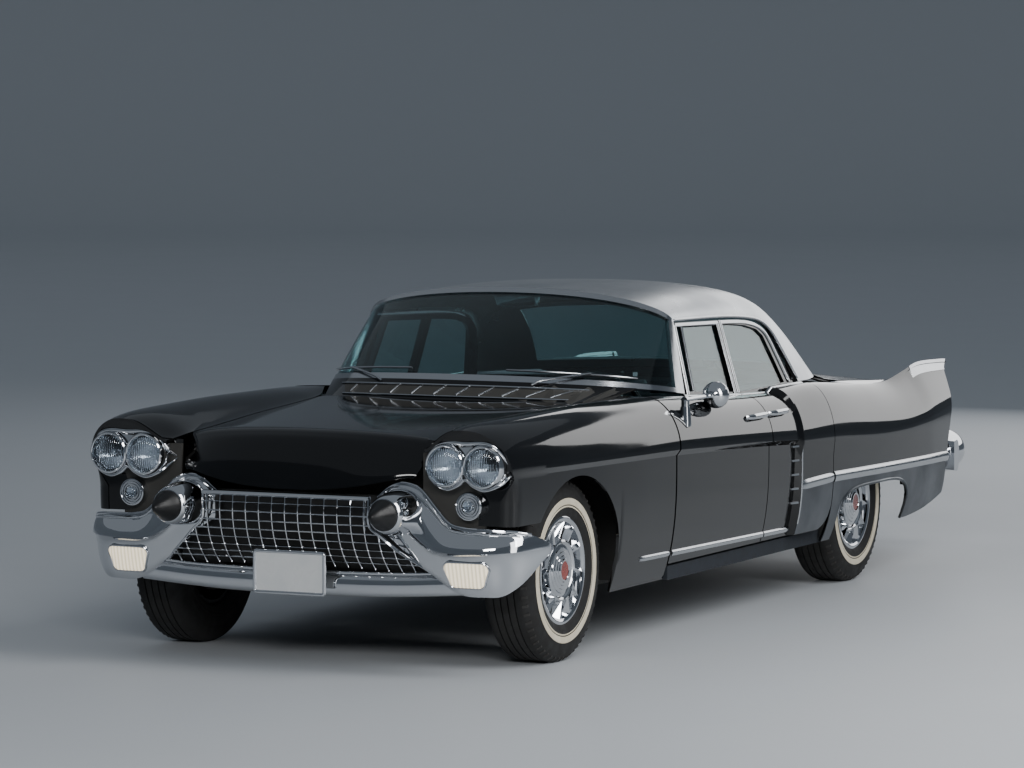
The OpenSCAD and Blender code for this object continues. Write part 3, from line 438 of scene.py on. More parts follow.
# %% [markdown]
# ### The lines of the side
# Four lines carry the whole side: under the crease, on the crease, along the crown, and the inner edge where
# the lids begin. In front they give a round shoulder, at the rear the edge of a fin, and one column of the
# table turns the one into the other.

# %% Body lines of the side
# y, then x and z under the crease, on the crease, on the crown and at the inner edge, and how keen the crown
# is: 0 for a round shoulder, 1 for the edge of a fin
SIDE_FRONT = np.array([
    [-2560, 902, 770, 906, 796, 738, 945, 578, 862, 0],
    [-2450, 917, 769, 922, 795, 745, 965, 558, 872, 0],
    [-2335, 923, 768, 932, 793, 755, 974, 538, 890, 0],
    [-2100, 930, 765, 946, 788, 768, 980, 548, 904, 0],
    [-1700, 938, 759, 955, 781, 776, 988, 580, 926, 0],
    [-1300, 942, 752, 960, 775, 782, 988, 600, 946, 0],
    [-1100, 943, 748, 961, 772, 790, 986, 612, 960, 0],
    [-900, 944, 744, 962, 768, 804, 980, 690, 984, 0],
    [-600, 945, 735, 964, 757, 822, 963, 776, 961, 0],
    [-100, 946, 719, 965, 741, 826, 934, 778, 932, 0],
    [480, 946, 692, 966, 712, 826, 914, 778, 912, 0]], float)
SIDE_REAR = np.array([
    [400, 970, 630, 978, 700, 836, 938, 780, 932, 0],
    [830, 979, 620, 985, 690, 852, 938, 770, 930, 0],
    [1333, 984, 600, 987, 670, 864, 906, 698, 905, 0.15],
    [1700, 982, 590, 985, 670, 868, 893, 690, 893, 0.4],
    [1950, 977, 585, 980, 680, 872, 928, 690, 880, 0.85],
    [2130, 970, 580, 973, 690, 873, 957, 690, 866, 1],
    [2450, 946, 575, 949, 715, 870, 955, 690, 836, 1],
    [2560, 933, 575, 936, 725, 866, 950, 690, 822, 1]], float)
SILL_Z, DOOR_Z, TUCK = 232, 296, 62
SKIN, GAP, HINGE_GAP = 12, 8, 10
AXLE_FRONT, AXLE_REAR, HALF_TRACK, TYRE_R = -1867, 1333, 774.5, 360
DOOR_FRONT, DOOR_MEET, DOOR_REAR, SCOOP = -915, 85, 772, 388


def tucked(x, z, crease_z):
    """How the lower side draws in towards the sill."""
    return x - TUCK * max(0, 1 - (z - SILL_Z) / (crease_z - SILL_Z)) ** 3


def side_point(table, y, t, foot):
    """t 0..1 lower panel, 1..2 crease, 2..3 shoulder, 3..4 inner slope."""
    row = station(table, y)
    under, crease, crown, edge = (np.array([row[k], y, row[k + 1]]) for k in (1, 3, 5, 7))
    keen = row[9]
    if t <= 1:
        z = lerp(foot, under[2], t)
        return np.array([tucked(under[0], z, under[2]), y, z])
    if t <= 2:
        return lerp(under, crease, t - 1)
    if t <= 3:
        return bezier(crease, np.array([crease[0], y, lerp(crease[2], crown[2], 0.5)]),
                      np.array([lerp(crown[0], crease[0], lerp(0.55, 0.12, keen)), y, crown[2] - 70 * keen]),
                      crown, t - 2)
    return bezier(crown, np.array([lerp(crown[0], edge[0], lerp(0.5, 0.1, keen)), y, crown[2] - 50 * keen]),
                  np.array([lerp(edge[0], crown[0], lerp(0.25, 0.55, keen)), y,
                            lerp(edge[2], crown[2], lerp(0.15, 0.1, keen))]), edge, t - 3)


def leaned(rows, t, y, end, reach):
    """Shift of a wing's end: more or less along the section, fading out over the reach."""
    return y + np.interp(t, *zip(*rows)) * max(0, 1 - abs(y - end) / reach)


print("widest point of the side:", SIDE_REAR[:, 3].max(), "mm")

# %% [markdown]
# ### Front wings
# The front wing runs from the brow over the lamps to the door. Its lower edge follows the wheel opening, so
# the columns of the grid carry their own foot height. A Boolean cut would leave long thin faces there, which
# show in polished lacquer.

# %% Wings
SIDE_T = spread([0, 1], 0.05) + spread([1, 2], 0.34)[1:] + spread([2, 3, 4], 0.05)[1:]
ARCH_HALF, ARCH_RISE = 412, 375
WING_FOOT, WING_NOSE, NOSE_ROLL = 580, -2450, 58
WING_LIP = [(0, 20), (1, 20), (2, 0), (3, -80), (4, -30)]
WING_LIP_REACH = 260


def arch_z(y):
    return TYRE_R + ARCH_RISE * math.sqrt(max(0, 1 - ((y - AXLE_FRONT) / ARCH_HALF) ** 2))


def rolled_in(t, y):
    """Inward roll of the wing's front corner below the lamps."""
    f = min(1, max(0, (WING_NOSE + NOSE_ROLL - y) / NOSE_ROLL))
    return np.array([NOSE_ROLL * (1 - math.sqrt(1 - f * f)) * np.interp(t, (0.5, 0.95), (1, 0)), 0, 0])


# The feet are (y, lowest z) of each column: nose, front of the arch, arch, and the part behind it.
front_feet = [(WING_NOSE + d, WING_FOOT) for d in (0, 1, 3, 7, 13, 21, 31, 43, NOSE_ROLL)]
front_feet += [(y, WING_FOOT) for y in spread([-2370, -2260], 30)]
front_feet += [(y, max(WING_FOOT, arch_z(y)) if y < AXLE_FRONT else arch_z(y))
               for y in (AXLE_FRONT + ARCH_HALF * math.cos(math.radians(a)) for a in range(162, 12, -3))]
front_feet += [(AXLE_FRONT + ARCH_HALF - 1, 388), (AXLE_FRONT + ARCH_HALF + 1, SILL_Z)]
front_feet += [(y, SILL_Z) for y in spread([-1430, DOOR_FRONT - HINGE_GAP], 40)]
wing_grid = np.array([[side_point(SIDE_FRONT, leaned(WING_LIP, t, y, WING_NOSE, WING_LIP_REACH), t, foot)
                       - rolled_in(t, y) for t in SIDE_T] for y, foot in front_feet])
pair("wing", shell(wing_grid, wing_grid - normals(wing_grid) * SKIN), LACQUER, ON_BODY,
     (["fender_left"], ["fender_right"]))
print("wing points:", wing_grid.size // 3)

# %% [markdown]
# ### Rear quarters
# The rear quarter is made like the wing. It goes round a low, flat-topped wheel opening and rises into the
# fin. Its rear end leans: the crown of the fin reaches farther back than the foot.

# %% Rear quarters
SPAT_HALF, SPAT_TOP, SPAT_FOOT = 445, 457, 250
SPAT_MIDDLE = AXLE_REAR - 12
TAIL_END, TAIL_LIP_REACH = 2440, 300
TAIL_LIP = [(0, -150), (1, -75), (2, -25), (2.4, 2), (2.8, 55), (3, 112), (4, 60)]
opening = (SPAT_MIDDLE - SPAT_HALF, SPAT_MIDDLE + SPAT_HALF)


def spat_z(y):
    f = min(1, abs(y - SPAT_MIDDLE) / SPAT_HALF)
    return SPAT_FOOT + (SPAT_TOP - SPAT_FOOT) * max(0, 1 - f ** 4) ** 0.25


# Feet again: before the opening, over it in cosine steps that crowd its corners, and the rising tail.
rear_feet = [(y, SILL_Z) for y in spread([DOOR_REAR + HINGE_GAP, opening[0] - 1], 40)]
rear_feet += [(y, spat_z(y))
              for y in (lerp(*opening, (1 - math.cos(math.pi * k / 40)) / 2) for k in range(41))]
rear_feet += [(lerp(opening[1], TAIL_END, s), lerp(252, 360, s * s)) for s in np.linspace(0.01, 1, 24)]
quarter_grid = np.array([[side_point(SIDE_REAR, leaned(TAIL_LIP, t, y, TAIL_END, TAIL_LIP_REACH), t, foot)
                          for t in SIDE_T] for y, foot in rear_feet])
pair("quarter", shell(quarter_grid, quarter_grid - normals(quarter_grid) * SKIN), LACQUER, ON_BODY,
     (["quarter_left"], ["quarter_right"]))
print("quarter points:", quarter_grid.size // 3)

# %% [markdown]
# ### Doors
# The door solids keep their thickness, hinge pockets and window frames. A thin pressed skin with a finer
# grid goes over each outer face, so that the lacquer reflects in smooth bands. The rear skin steps outward
# at the scoop.

# %% Door skins
HEEL_R = 115
SKIN_OUT, SKIN_IN = 1.6, 1.0


def door_heel(y):
    """Foot of the rear door, with its rounded rear corner."""
    f = max(0, y - DOOR_REAR + HEEL_R) / HEEL_R
    return DOOR_Z + HEEL_R * (1 - math.sqrt(max(0, 1 - f * f)))


DOOR_T = [t for t in SIDE_T if t <= 3]
front_grid = np.array([[side_point(SIDE_FRONT, y, t, DOOR_Z) for t in DOOR_T]
                       for y in spread([DOOR_FRONT, DOOR_MEET - GAP / 2], 30)])
rear_grid = np.array(
    [[side_point(SIDE_FRONT, y, t, DOOR_Z) for t in DOOR_T]
     for y in spread([DOOR_MEET + GAP / 2, SCOOP], 30)]
    + [[side_point(SIDE_REAR, y, t, door_heel(y)) for t in DOOR_T]
       for y in spread([SCOOP + 22, DOOR_REAR], 16)])
for name, grid, bodies in (("front", front_grid, FRONT_DOORS), ("rear", rear_grid, REAR_DOORS)):
    skin = shell(grid + normals(grid) * SKIN_OUT, grid - normals(grid) * SKIN_IN)
    pair(f"door_skin_{name}", skin, LACQUER, bodies)
print("door skins:", front_grid.shape, rear_grid.shape)

# %% [markdown]
# ### Bonnet and boot lid
# Both are symmetric, so half a section is drawn from the seam to the middle and mirrored. The bonnet
# turns down at the nose and ends just above the grille. Its long edge takes its place from the wing's table,
# so the gap between them is the same all along.

# %% Lids
HALF = np.linspace(0, 1, 25)
# step, x y z of the side edge at the nose, y z of the middle (x is 0 there)
HOOD_NOSE = np.array([[-4, 500, -2440, 752, -2532, 700], [-3, 510, -2430, 772, -2525, 745],
                      [-2, 522, -2400, 808, -2502, 820], [-1, 524, -2368, 850, -2466, 890],
                      [0, 524, -2345, 878, -2432, 917]], float)
HOOD_REAR, HOOD_LENGTH = -1150, 1175
# step, y z of the side edge, y z of the middle
LID_ROWS = np.array([
    [0, 1600, 898, 1600, 934], [1, 1700, 893, 1700, 930], [2, 1950, 880, 1950, 915],
    [3, 2150, 865, 2150, 895], [4, 2350, 848, 2370, 872], [5, 2470, 832, 2500, 850],
    [6, 2530, 800, 2565, 812], [7, 2560, 740, 2596, 745], [8, 2575, 640, 2610, 640]], float)


def whole_row(half):
    return np.array(half + [p * np.array([-1, 1, 1]) for p in half[-2::-1]])


def hood_row(edge, middle):
    a, d = np.array(edge, float), np.array([0, *middle], float)
    b = a + np.array([-60, 0.3 * (d[1] - a[1]), 14])
    return whole_row([bezier(a, b, d + np.array([330, 0, 0]), d, t) for t in HALF])


def lid_row(r):
    edge = np.array([station(SIDE_REAR, r[1])[7] - GAP, r[1], r[2]])
    middle = np.array([0, r[3], r[4]])
    rise = lerp(edge, middle, 0.3) + np.array([0, 0, 8])
    return whole_row([bezier(edge, rise, middle + np.array([320, 0, 0]), middle, t) for t in HALF])


hood_rows = [hood_row(r[1:4], r[4:6]) for r in (station(HOOD_NOSE, k) for k in np.linspace(-4, 0, 25))]
for y in spread([-2325, HOOD_REAR], 35):
    s = (y - HOOD_REAR) / -HOOD_LENGTH
    row = station(SIDE_FRONT, y)
    hood_rows.append(hood_row((row[7] - GAP, y, row[8]), (lerp(-1172, -2405, s), lerp(960, 928, s ** 1.3))))
hood_grid = np.array(hood_rows)
lid_grid = np.array([lid_row(station(LID_ROWS, k)) for k in np.linspace(0, 8, 65)])
for name, grid, body, node in (("bonnet", hood_grid, "hood", "hood"),
                               ("boot_lid", lid_grid, "trunk", "trunk_lid")):
    piece(name, shell(grid, grid - normals(grid) * SKIN), LACQUER, body, [node])
print("bonnet", hood_grid.shape, "boot lid", lid_grid.shape)

# %% [markdown]
# ### Roof and rear window
# The roof and the rear window are one canopy, cut where the rubber seal runs. Drawing both on one surface
# keeps the glass flush with the steel.

# %% Canopy
# v, side edge x y z, middle y z, handle x y z at the edge, handle at the middle
CANOPY = np.array([
    [0, 709, -412, 1274, -522, 1402, -5, -110, 70, 430],
    [0.25, 711, 100, 1266, 60, 1409.7, -25, 0, 110, 430],
    [0.5, 716, 420, 1247, 540, 1394, -25, 15, 118, 430],
    [0.62, 723, 545, 1223, 800, 1356, -25, 50, 125, 420],
    [0.74, 737, 632, 1172, 985, 1292, -20, 130, 118, 430],
    [0.87, 762, 700, 1085, 1240, 1137, -12, 300, 74, 480],
    [1, 806, 785, 946, 1500, 958, -5, 450, 0, 580]])
REAR_GLASS_V, REAR_GLASS_U = (0.76, 0.97), 0.6
ROOF_THICK, PANE_OUT, PANE_IN = 18, 5, 11


def canopy_point(v, u):
    """v runs from the windscreen to the tail, u from -1 on the right to 1 on the left."""
    q = station(CANOPY, v)
    edge, middle = q[1:4], np.array([0, q[4], q[5]])
    p = bezier(edge, edge + q[6:9], middle + np.array([q[9], 0, 0]), middle, 1 - abs(u))
    return p * np.array([1 if u >= 0 else -1, 1, 1])


canopy_v = spread([0, 0.5], 0.02) + spread([0.5, REAR_GLASS_V[0], REAR_GLASS_V[1], 1], 0.01)[1:]
canopy_u = spread([1, REAR_GLASS_U, -REAR_GLASS_U, -1], 0.025)
canopy_grid = np.array([[canopy_point(v, u) for u in canopy_u] for v in canopy_v])
canopy_in = -normals(canopy_grid)


def is_rear_glass(i, j):
    v = (canopy_v[i] + canopy_v[i + 1]) / 2
    u = (canopy_u[j] + canopy_u[j + 1]) / 2
    return REAR_GLASS_V[0] < v < REAR_GLASS_V[1] and abs(u) < REAR_GLASS_U


roof = shell(canopy_grid, canopy_grid + canopy_in * ROOF_THICK, lambda i, j: not is_rear_glass(i, j))
piece("roof_shell", roof, ROOF_STEEL, "body", ["roof"])
pane = shell(canopy_grid + canopy_in * PANE_OUT, canopy_grid + canopy_in * PANE_IN, is_rear_glass)
piece("rear_window_glass", pane, TINTED_GLASS, "body", ["rear_window"])
print("canopy:", canopy_grid.shape)

# %% [markdown]
# ### Windscreen
# The windscreen wraps round to the door pillars and meets the front edge of the roof. Each of its lines runs
# from a point of the scuttle to a point of the roof's edge, and swells forward in between. The frame is the
# same surface, kept where the glass is left out.

# %% Windscreen
# angle round the scuttle, and the place u on the roof's edge that it meets
SCREEN_A = np.array([90, 85, 74, 62, 52, 41, 28, 14, 0], float)
SCREEN_U = np.array([1, 0.9, 0.8, 0.7, 0.6, 0.5, 0.33, 0.16, 0])
PANE_A, PANE_LOW, PANE_HIGH, FRAME_THICK = 85, 0.06, 0.94, 22
angles = spread([90, PANE_A, 0, -PANE_A, -90], 2.5)


def screen_point(v, a):
    """v runs from the scuttle to the roof, a from 90 degrees on the left to -90 on the right."""
    u = np.sign(a) * np.interp(abs(a), SCREEN_A[::-1], SCREEN_U[::-1])
    k = abs(math.cos(math.radians(a))) ** 0.8
    base = np.array([np.sign(a) * abs(math.sin(math.radians(a))) ** 0.8 * 785, lerp(-462, -1062, k),
                     lerp(966, 1036, k)])
    swell = math.sin(math.pi * v) * k
    return lerp(base, canopy_point(0, u), v) + np.array([0, -30 * swell, 12 * swell])


screen_v = spread([0, PANE_LOW, PANE_HIGH, 1], 0.04)
screen_grid = np.array([[screen_point(v, a) for a in angles] for v in screen_v])
screen_in = -normals(screen_grid)


def is_screen(i, j):
    v, a = (screen_v[i] + screen_v[i + 1]) / 2, abs(angles[j] + angles[j + 1]) / 2
    return PANE_LOW < v < PANE_HIGH and a < PANE_A


pane = shell(screen_grid + screen_in * PANE_OUT, screen_grid + screen_in * PANE_IN, is_screen)
piece("windscreen_glass", pane, TINTED_GLASS, "body", ["windshield"])
surround = shell(screen_grid, screen_grid + screen_in * FRAME_THICK, lambda i, j: not is_screen(i, j))
piece("windscreen_surround", surround, MOULDING, "body", ["windshield_frame"])
print("windscreen:", screen_grid.shape)

# %% [markdown]
# ### Lamp pods and fin ends
# The open ends of the wings are closed by panels that follow the wing's own end curve across the car. In
# front they make the black pods around the lamps, at the rear the backs of the fins. Filling the end with one
# many-sided face would be quicker, but its shading would be uneven.

# %% End panels
END_THICK = 6


def across(edge, x_in, y_in, n=14):
    """Panel from an end curve of a wing to the car's middle; above the slope it ends on the slope."""
    crown = int(np.argmax(edge[:, 2]))
    outer, slope = edge[:crown + 1], edge[crown:][::-1]
    rows = []
    for p in outer:
        if p[2] > slope[0][2]:
            q = np.array([np.interp(p[2], slope[:, 2], slope[:, k]) for k in range(3)])
        else:
            q = np.array([x_in, y_in, p[2]])
        rows.append([lerp(p, q, s) for s in np.linspace(0, 1, n)])
    return np.array(rows)


pod_grid = across(wing_grid[1] - np.array([6, -4, 0]), 530, -2408)
fin_grid = across(quarter_grid[-2] - np.array([6, 4, 0]), 700, 2395)
for name, grid, inside in (("lamp_pod", pod_grid, END_THICK), ("fin_back", fin_grid, -END_THICK)):
    pair(name, shell(grid, grid + np.array([0, inside, 0])), LACQUER, ON_BODY)
print("end panels:", pod_grid.shape, fin_grid.shape)

# %% [markdown]
# ## Copies with Geometry Nodes
# Wheel vanes, tyre lugs, scoop louvres and grille bars repeat. One node tree makes them all: it lays points
# in a row or turns them about an axis, and puts a copy of the drawn piece on each point. An Array modifier
# could lay a row; this tree does rows and rings with the same inputs.

# %% The tree for copies
copies_tree = bpy.data.node_groups.new("copies_of_a_piece", "GeometryNodeTree")
for label, kind in (("Piece", "Geometry"), ("Count", "Int"), ("Step", "Vector"), ("Turn", "Vector"),
                    ("Finish", "Material")):
    copies_tree.interface.new_socket(label, in_out="INPUT", socket_type="NodeSocket" + kind)
copies_tree.interface.new_socket("Copies", in_out="OUTPUT", socket_type="NodeSocketGeometry")
given = add_node(copies_tree, "NodeGroupInput")
index = add_node(copies_tree, "GeometryNodeInputIndex")
place = add_node(copies_tree, "ShaderNodeVectorMath", {"operation": "SCALE"},
                 {"Vector": given.outputs["Step"], "Scale": index.outputs["Index"]})
turn = add_node(copies_tree, "ShaderNodeVectorMath", {"operation": "SCALE"},
                {"Vector": given.outputs["Turn"], "Scale": index.outputs["Index"]})
spots = add_node(copies_tree, "GeometryNodePoints", None,
                 {"Count": given.outputs["Count"], "Position": place.outputs["Vector"]})
put = add_node(copies_tree, "GeometryNodeInstanceOnPoints", None,
               {"Points": spots.outputs[0], "Instance": given.outputs["Piece"],
                "Rotation": turn.outputs["Vector"]})
solid = add_node(copies_tree, "GeometryNodeRealizeInstances", None, {"Geometry": put.outputs["Instances"]})
coat = add_node(copies_tree, "GeometryNodeSetMaterial", None,
                {"Geometry": solid.outputs["Geometry"], "Material": given.outputs["Finish"]})
add_node(copies_tree, "NodeGroupOutput", None, {"Copies": coat.outputs["Geometry"]})
SOCKET = {item.name: item.identifier for item in copies_tree.interface.items_tree if item.in_out == "INPUT"}
print("inputs of the tree:", ", ".join(SOCKET))

# %% [markdown]
# ### Using the tree
# The modifier is set by the sockets' identifiers, evaluated once, and turned into a plain mesh, because the
# export drops instances. A mesh that stands in several places is copied, with each place applied to its copy.

# %% Copies and placed meshes
def copies(drawn, count, finish, step_mm=(0, 0, 0), turn_deg=(0, 0, 0)):
    """Plain mesh of many copies of a closed solid, in metres."""
    seed = mesh_of("seed", drawn)
    holder = bpy.data.objects.new("seed", seed)
    bpy.context.scene.collection.objects.link(holder)
    modifier = holder.modifiers.new("copies", "NODES")
    modifier.node_group = copies_tree
    modifier[SOCKET["Count"]] = count
    modifier[SOCKET["Step"]] = [c * MM for c in step_mm]
    modifier[SOCKET["Turn"]] = [math.radians(c) for c in turn_deg]
    modifier[SOCKET["Finish"]] = finish
    shaped = holder.evaluated_get(bpy.context.evaluated_depsgraph_get())
    mesh = bpy.data.meshes.new_from_object(shaped)
    holder.modifiers.remove(modifier)
    bpy.data.objects.remove(holder)
    bpy.data.meshes.remove(seed)
    return mesh


def set_mesh(name, mesh, body, matrix=None, replaces=(), sharp=EDGE_DEG):
    """Object from a copy of a mesh, with its place applied to the mesh."""
    own = mesh.copy()
    own.name = name
    if matrix is not None:
        own.transform(matrix)
        if matrix.determinant() < 0:
            own.flip_normals()
    return settle(name, own, body, replaces, sharp)


print("the tree is", copies_tree.name)

# %% [markdown]
# ### Turned solids
# Round parts are turned from a profile, as on a lathe. The Screw modifier does this too; a function gives a
# closed solid with clean poles, and points it forward, back or up.

# %% Turned solids
def lathe(profile, segments=96):
    """Turn (radius, along) about X. A radius of 0 is a pole; without poles the profile is a closed loop."""
    rings, points, faces = [], [], []
    for r, x in profile:
        if r == 0:
            rings.append([len(points)] * segments)
            points.append((x, 0, 0))
        else:
            rings.append(list(range(len(points), len(points) + segments)))
            points += [(x, r * math.cos(2 * math.pi * k / segments), r * math.sin(2 * math.pi * k / segments))
                       for k in range(segments)]
    loop = profile[0][0] > 0 and profile[-1][0] > 0
    for i in range(len(profile) - (0 if loop else 1)):
        a, b = rings[i], rings[(i + 1) % len(profile)]
        for k in range(segments):
            face = list(dict.fromkeys([a[k], b[k], b[(k + 1) % segments], a[(k + 1) % segments]]))
            if len(face) > 2:
                faces.append(face)
    return np.array(points, float), faces


def turned(profile, at, way="forward", segments=64):
    """A lathe solid that points forward, back or up from a place."""
    points, faces = lathe(profile, segments)
    along, p, q = points.T
    axes = {"forward": (p, -along, q), "back": (p, along, q), "up": (p, q, along)}[way]
    return np.stack(axes, axis=1) + np.array(at, float), faces


print("points of a turned cone:", len(lathe([(0, 1), (1, 0), (0, 0)], 8)[0]))

# %% [markdown]
# ### Lofted and swept solids
# Bars are lofted through rings of points, and a moulding is a rounded section swept along a path. A curve
# with a bevel would sweep too; here the section is told which way is out, so it needs no tilt by hand.

# %% Lofted and swept solids
def tube(rings_count, ring_size):
    """Faces between rings of points, with both ends closed."""
    n, m = rings_count, ring_size
    faces = [[i * m + k, i * m + (k + 1) % m, (i + 1) * m + (k + 1) % m, (i + 1) * m + k]
             for i in range(n - 1) for k in range(m)]
    return faces + [list(range(m))[::-1], list(range((n - 1) * m, n * m))]


def loft(rings):
    return np.array(rings, float).reshape(-1, 3), tube(len(rings), len(rings[0]))


def strip(path, out, wide, proud, n=12, taper=0.0):
    """Rounded moulding: wide across, standing proud of the path towards out. Taper thins both ends."""
    path = np.asarray(path, float)
    tangent = np.gradient(path, axis=0)
    tangent /= np.linalg.norm(tangent, axis=1, keepdims=True)
    out = np.broadcast_to(np.asarray(out, float), path.shape)
    out = out - tangent * np.sum(out * tangent, axis=1, keepdims=True)
    out = out / np.linalg.norm(out, axis=1, keepdims=True)
    side = np.cross(tangent, out)
    size = 1 - taper * np.abs(np.linspace(-1, 1, len(path))) ** 8
    turns = np.linspace(0, 2 * math.pi, n, endpoint=False)
    points = [p + (s * wide / 2 * math.cos(a) + o * proud * math.sin(a)) * k
              for p, s, o, k in zip(path, side, out, size) for a in turns]
    return np.array(points), tube(len(path), n)


print("faces of a tube of three rings of four:", len(tube(3, 4)))

# %% [markdown]
# ## Wheels
# A bias-ply tyre with a cream band is turned on the wheel's axis. Its tread has grooves all round, and the
# lugs on its shoulder are copies of one drawn block. The band is a second material on the faces between two
# radii, because it is moulded into the same rubber.

# %% Tyres
TREAD_R, GROOVE_R = 360, 354
BAND, THIN_BAND = (259, 285), (249, 254)
tread = [(TREAD_R, 64), (TREAD_R, 50)]
for x in (45, 15, -15, -45):
    tread += [(TREAD_R, x + 3), (GROOVE_R, x + 2), (GROOVE_R, x - 2), (TREAD_R, x - 3)]
flank_outer = [(204, 78), (209, 87), (220, 95), (236, 100), (247, 102.2), (249, 104), (253, 104.2),
               (255, 103), (259, 103.6), (260, 105.4), (272, 107), (283, 107), (285, 105.6), (300, 104.6),
               (318, 101), (334, 95), (347, 86), (355, 76)]
flank_inner = [(r, -x) for r, x in flank_outer[::-1]]
tyre_profile = flank_outer + tread + [(TREAD_R, -64)] + flank_inner
tyre_mesh = mesh_of("tyre", lathe(tyre_profile, 128), RUBBER, WHITEWALL)
for face in tyre_mesh.polygons:
    r = math.hypot(face.center.y, face.center.z) / MM
    in_band = BAND[0] < r < BAND[1] or THIN_BAND[0] < r < THIN_BAND[1]
    face.material_index = 1 if face.center.x > 0 and in_band else 0
LUG_FACES = [[0, 1, 3, 2], [4, 6, 7, 5], [0, 4, 5, 1], [2, 3, 7, 6], [0, 2, 6, 4], [1, 5, 7, 3]]
lug = np.array([[x, t, r] for x in (74, 92) for t in (-5, 5) for r in (338, 359 - (x - 74) * 0.75)], float)
lugs = copies((lug, LUG_FACES), 60, RUBBER, turn_deg=(6, 0, 0))
WHEELS = {"front_wheel_left": (1, AXLE_FRONT, "front_left"),
          "front_wheel_right": (-1, AXLE_FRONT, "front_right"),
          "rear_wheel_left": (1, AXLE_REAR, "rear_left"),
          "rear_wheel_right": (-1, AXLE_REAR, "rear_right")}


def on_wheels(*parts):
    """Puts parts on all four wheels: label, mesh, slot (not used), first word of the node they replace, edge
    angle.
    """
    for body, (side, axle, corner) in WHEELS.items():
        hub = (Matrix.Translation((side * HALF_TRACK * MM, axle * MM, TYRE_R * MM))
               @ Matrix.Diagonal((side, 1, 1, 1)))
        for label, mesh, slot, node, sharp in parts:
            set_mesh(f"{label}_{corner}", mesh, body, hub, [f"{node}_{corner}"] if node else (), sharp)


on_wheels(("tyre_dressed", tyre_mesh, "tyre_rubber", "tyre", EDGE_DEG),
          ("tyre_lugs", lugs, "tyre_rubber", None, EDGE_DEG))
print("tyre faces:", len(tyre_mesh.polygons), "lug faces:", len(lugs.polygons))

# %% [markdown]
# ### Wheel covers
# A pressed and plated cover: a stepped dome in the middle, a ring of slanted vanes over pockets painted dark
# as shade, and a polished rim. Dome and rim are one turned profile. The vanes are copies of one folded blade.

# %% Wheel covers
# Painted shade: a dark, half glossy colour in the pockets between the vanes and on the cover's back.
POCKET_SHADE = mottle(finish_of("wheel_pocket_painted_shade", "#1b1d20", 0.3, 0.6), 30, 0.25, 0.4)
POCKET_R, POCKET_X, DISC_R = (126, 187), (50, 60), 36
cover = [(0, 98), (DISC_R, 98), (38, 101), (44, 101), (47, 96), (58, 95), (60, 92), (73, 91), (75, 88),
         (88, 87), (90, 83), (103, 81), (108, 86), (114, 89), (121, 86), (125, 72), (127, 54), (184, 56),
         (188, 76), (191, 86), (199, 91), (208, 92), (213, 90), (213, 86), (203.5, 78), (203.5, -78),
         (190, -78), (190, 20), (150, 20), (60, 10), (60, -60), (28.4, -60), (28.4, 26), (0, 26)]
cover_mesh = mesh_of("wheel_cover", lathe(cover, 128), CHROME, POCKET_SHADE, RED_ENAMEL)
for face in cover_mesh.polygons:
    r, x = math.hypot(face.center.y, face.center.z) / MM, face.center.x / MM
    pocket = POCKET_R[0] < r < POCKET_R[1] and POCKET_X[0] < x < POCKET_X[1]
    # Painted shade: the pockets and the faces behind the cover (x under 20) take the dark finish.
    face.material_index = 1 if pocket or x < 20 else 2 if r < DISC_R and x > 90 else 0
blade = np.array([[54, -9, 121], [54, 11, 121], [86, 1, 121],
                  [54, 8, 190], [54, 38, 190], [86, 22, 190]], float)
BLADE_FACES = [[0, 2, 1], [3, 4, 5], [0, 1, 4, 3], [1, 2, 5, 4], [2, 0, 3, 5]]
vanes = copies((blade, BLADE_FACES), 12, CHROME, turn_deg=(30, 0, 0))
on_wheels(("wheel_cover", cover_mesh, "wheel_chrome", "wheel", EDGE_DEG),
          ("wheel_vanes", vanes, "wheel_chrome", None, 20))
print("cover faces:", len(cover_mesh.polygons), "vane faces:", len(vanes.polygons))

# %% [markdown]
# ## Front end
# The bumper is one heavy plated bar. Its wings are lofted through stations across the car, like a ship's
# hull, and a bright bead runs along the top edge. Each bullet is a turned shape with a rubber cone. Sculpting
# could find the form too, but a table of stations can be measured against the photograph.

# %% Bumper
# x, then y and z of the top edge, of the fold and of the lower edge, and y of the back
BUMPER_WING = np.array([
    [352, -2450, 676, -2476, 640, -2470, 572, -2422], [412, -2455, 722, -2496, 650, -2484, 532, -2422],
    [470, -2455, 735, -2506, 600, -2482, 484, -2422], [540, -2455, 712, -2512, 536, -2474, 426, -2422],
    [600, -2456, 648, -2520, 496, -2462, 380, -2422], [660, -2458, 588, -2526, 482, -2450, 336, -2422],
    [720, -2458, 571, -2526, 480, -2445, 312, -2422], [800, -2452, 567, -2516, 481, -2443, 310, -2422],
    [870, -2430, 564, -2488, 483, -2420, 316, -2398], [930, -2385, 556, -2430, 487, -2372, 362, -2352],
    [965, -2330, 540, -2358, 489, -2318, 420, -2300], [990, -2268, 512, -2276, 492, -2262, 470, -2248]],
    float)
# x, front y, lower and upper z
BUMPER_BAR = np.array([[0, -2478, 284, 378], [300, -2470, 287, 380], [470, -2462, 294, 384],
                       [600, -2455, 302, 392], [700, -2449, 309, 400]], float)
LOWER_BEAD_PLACE = 14
BULLET_AT, CONE_AT = (470, -2424, 627), (470, -2636, 627)
PLATED_EDGE_DEG = 28


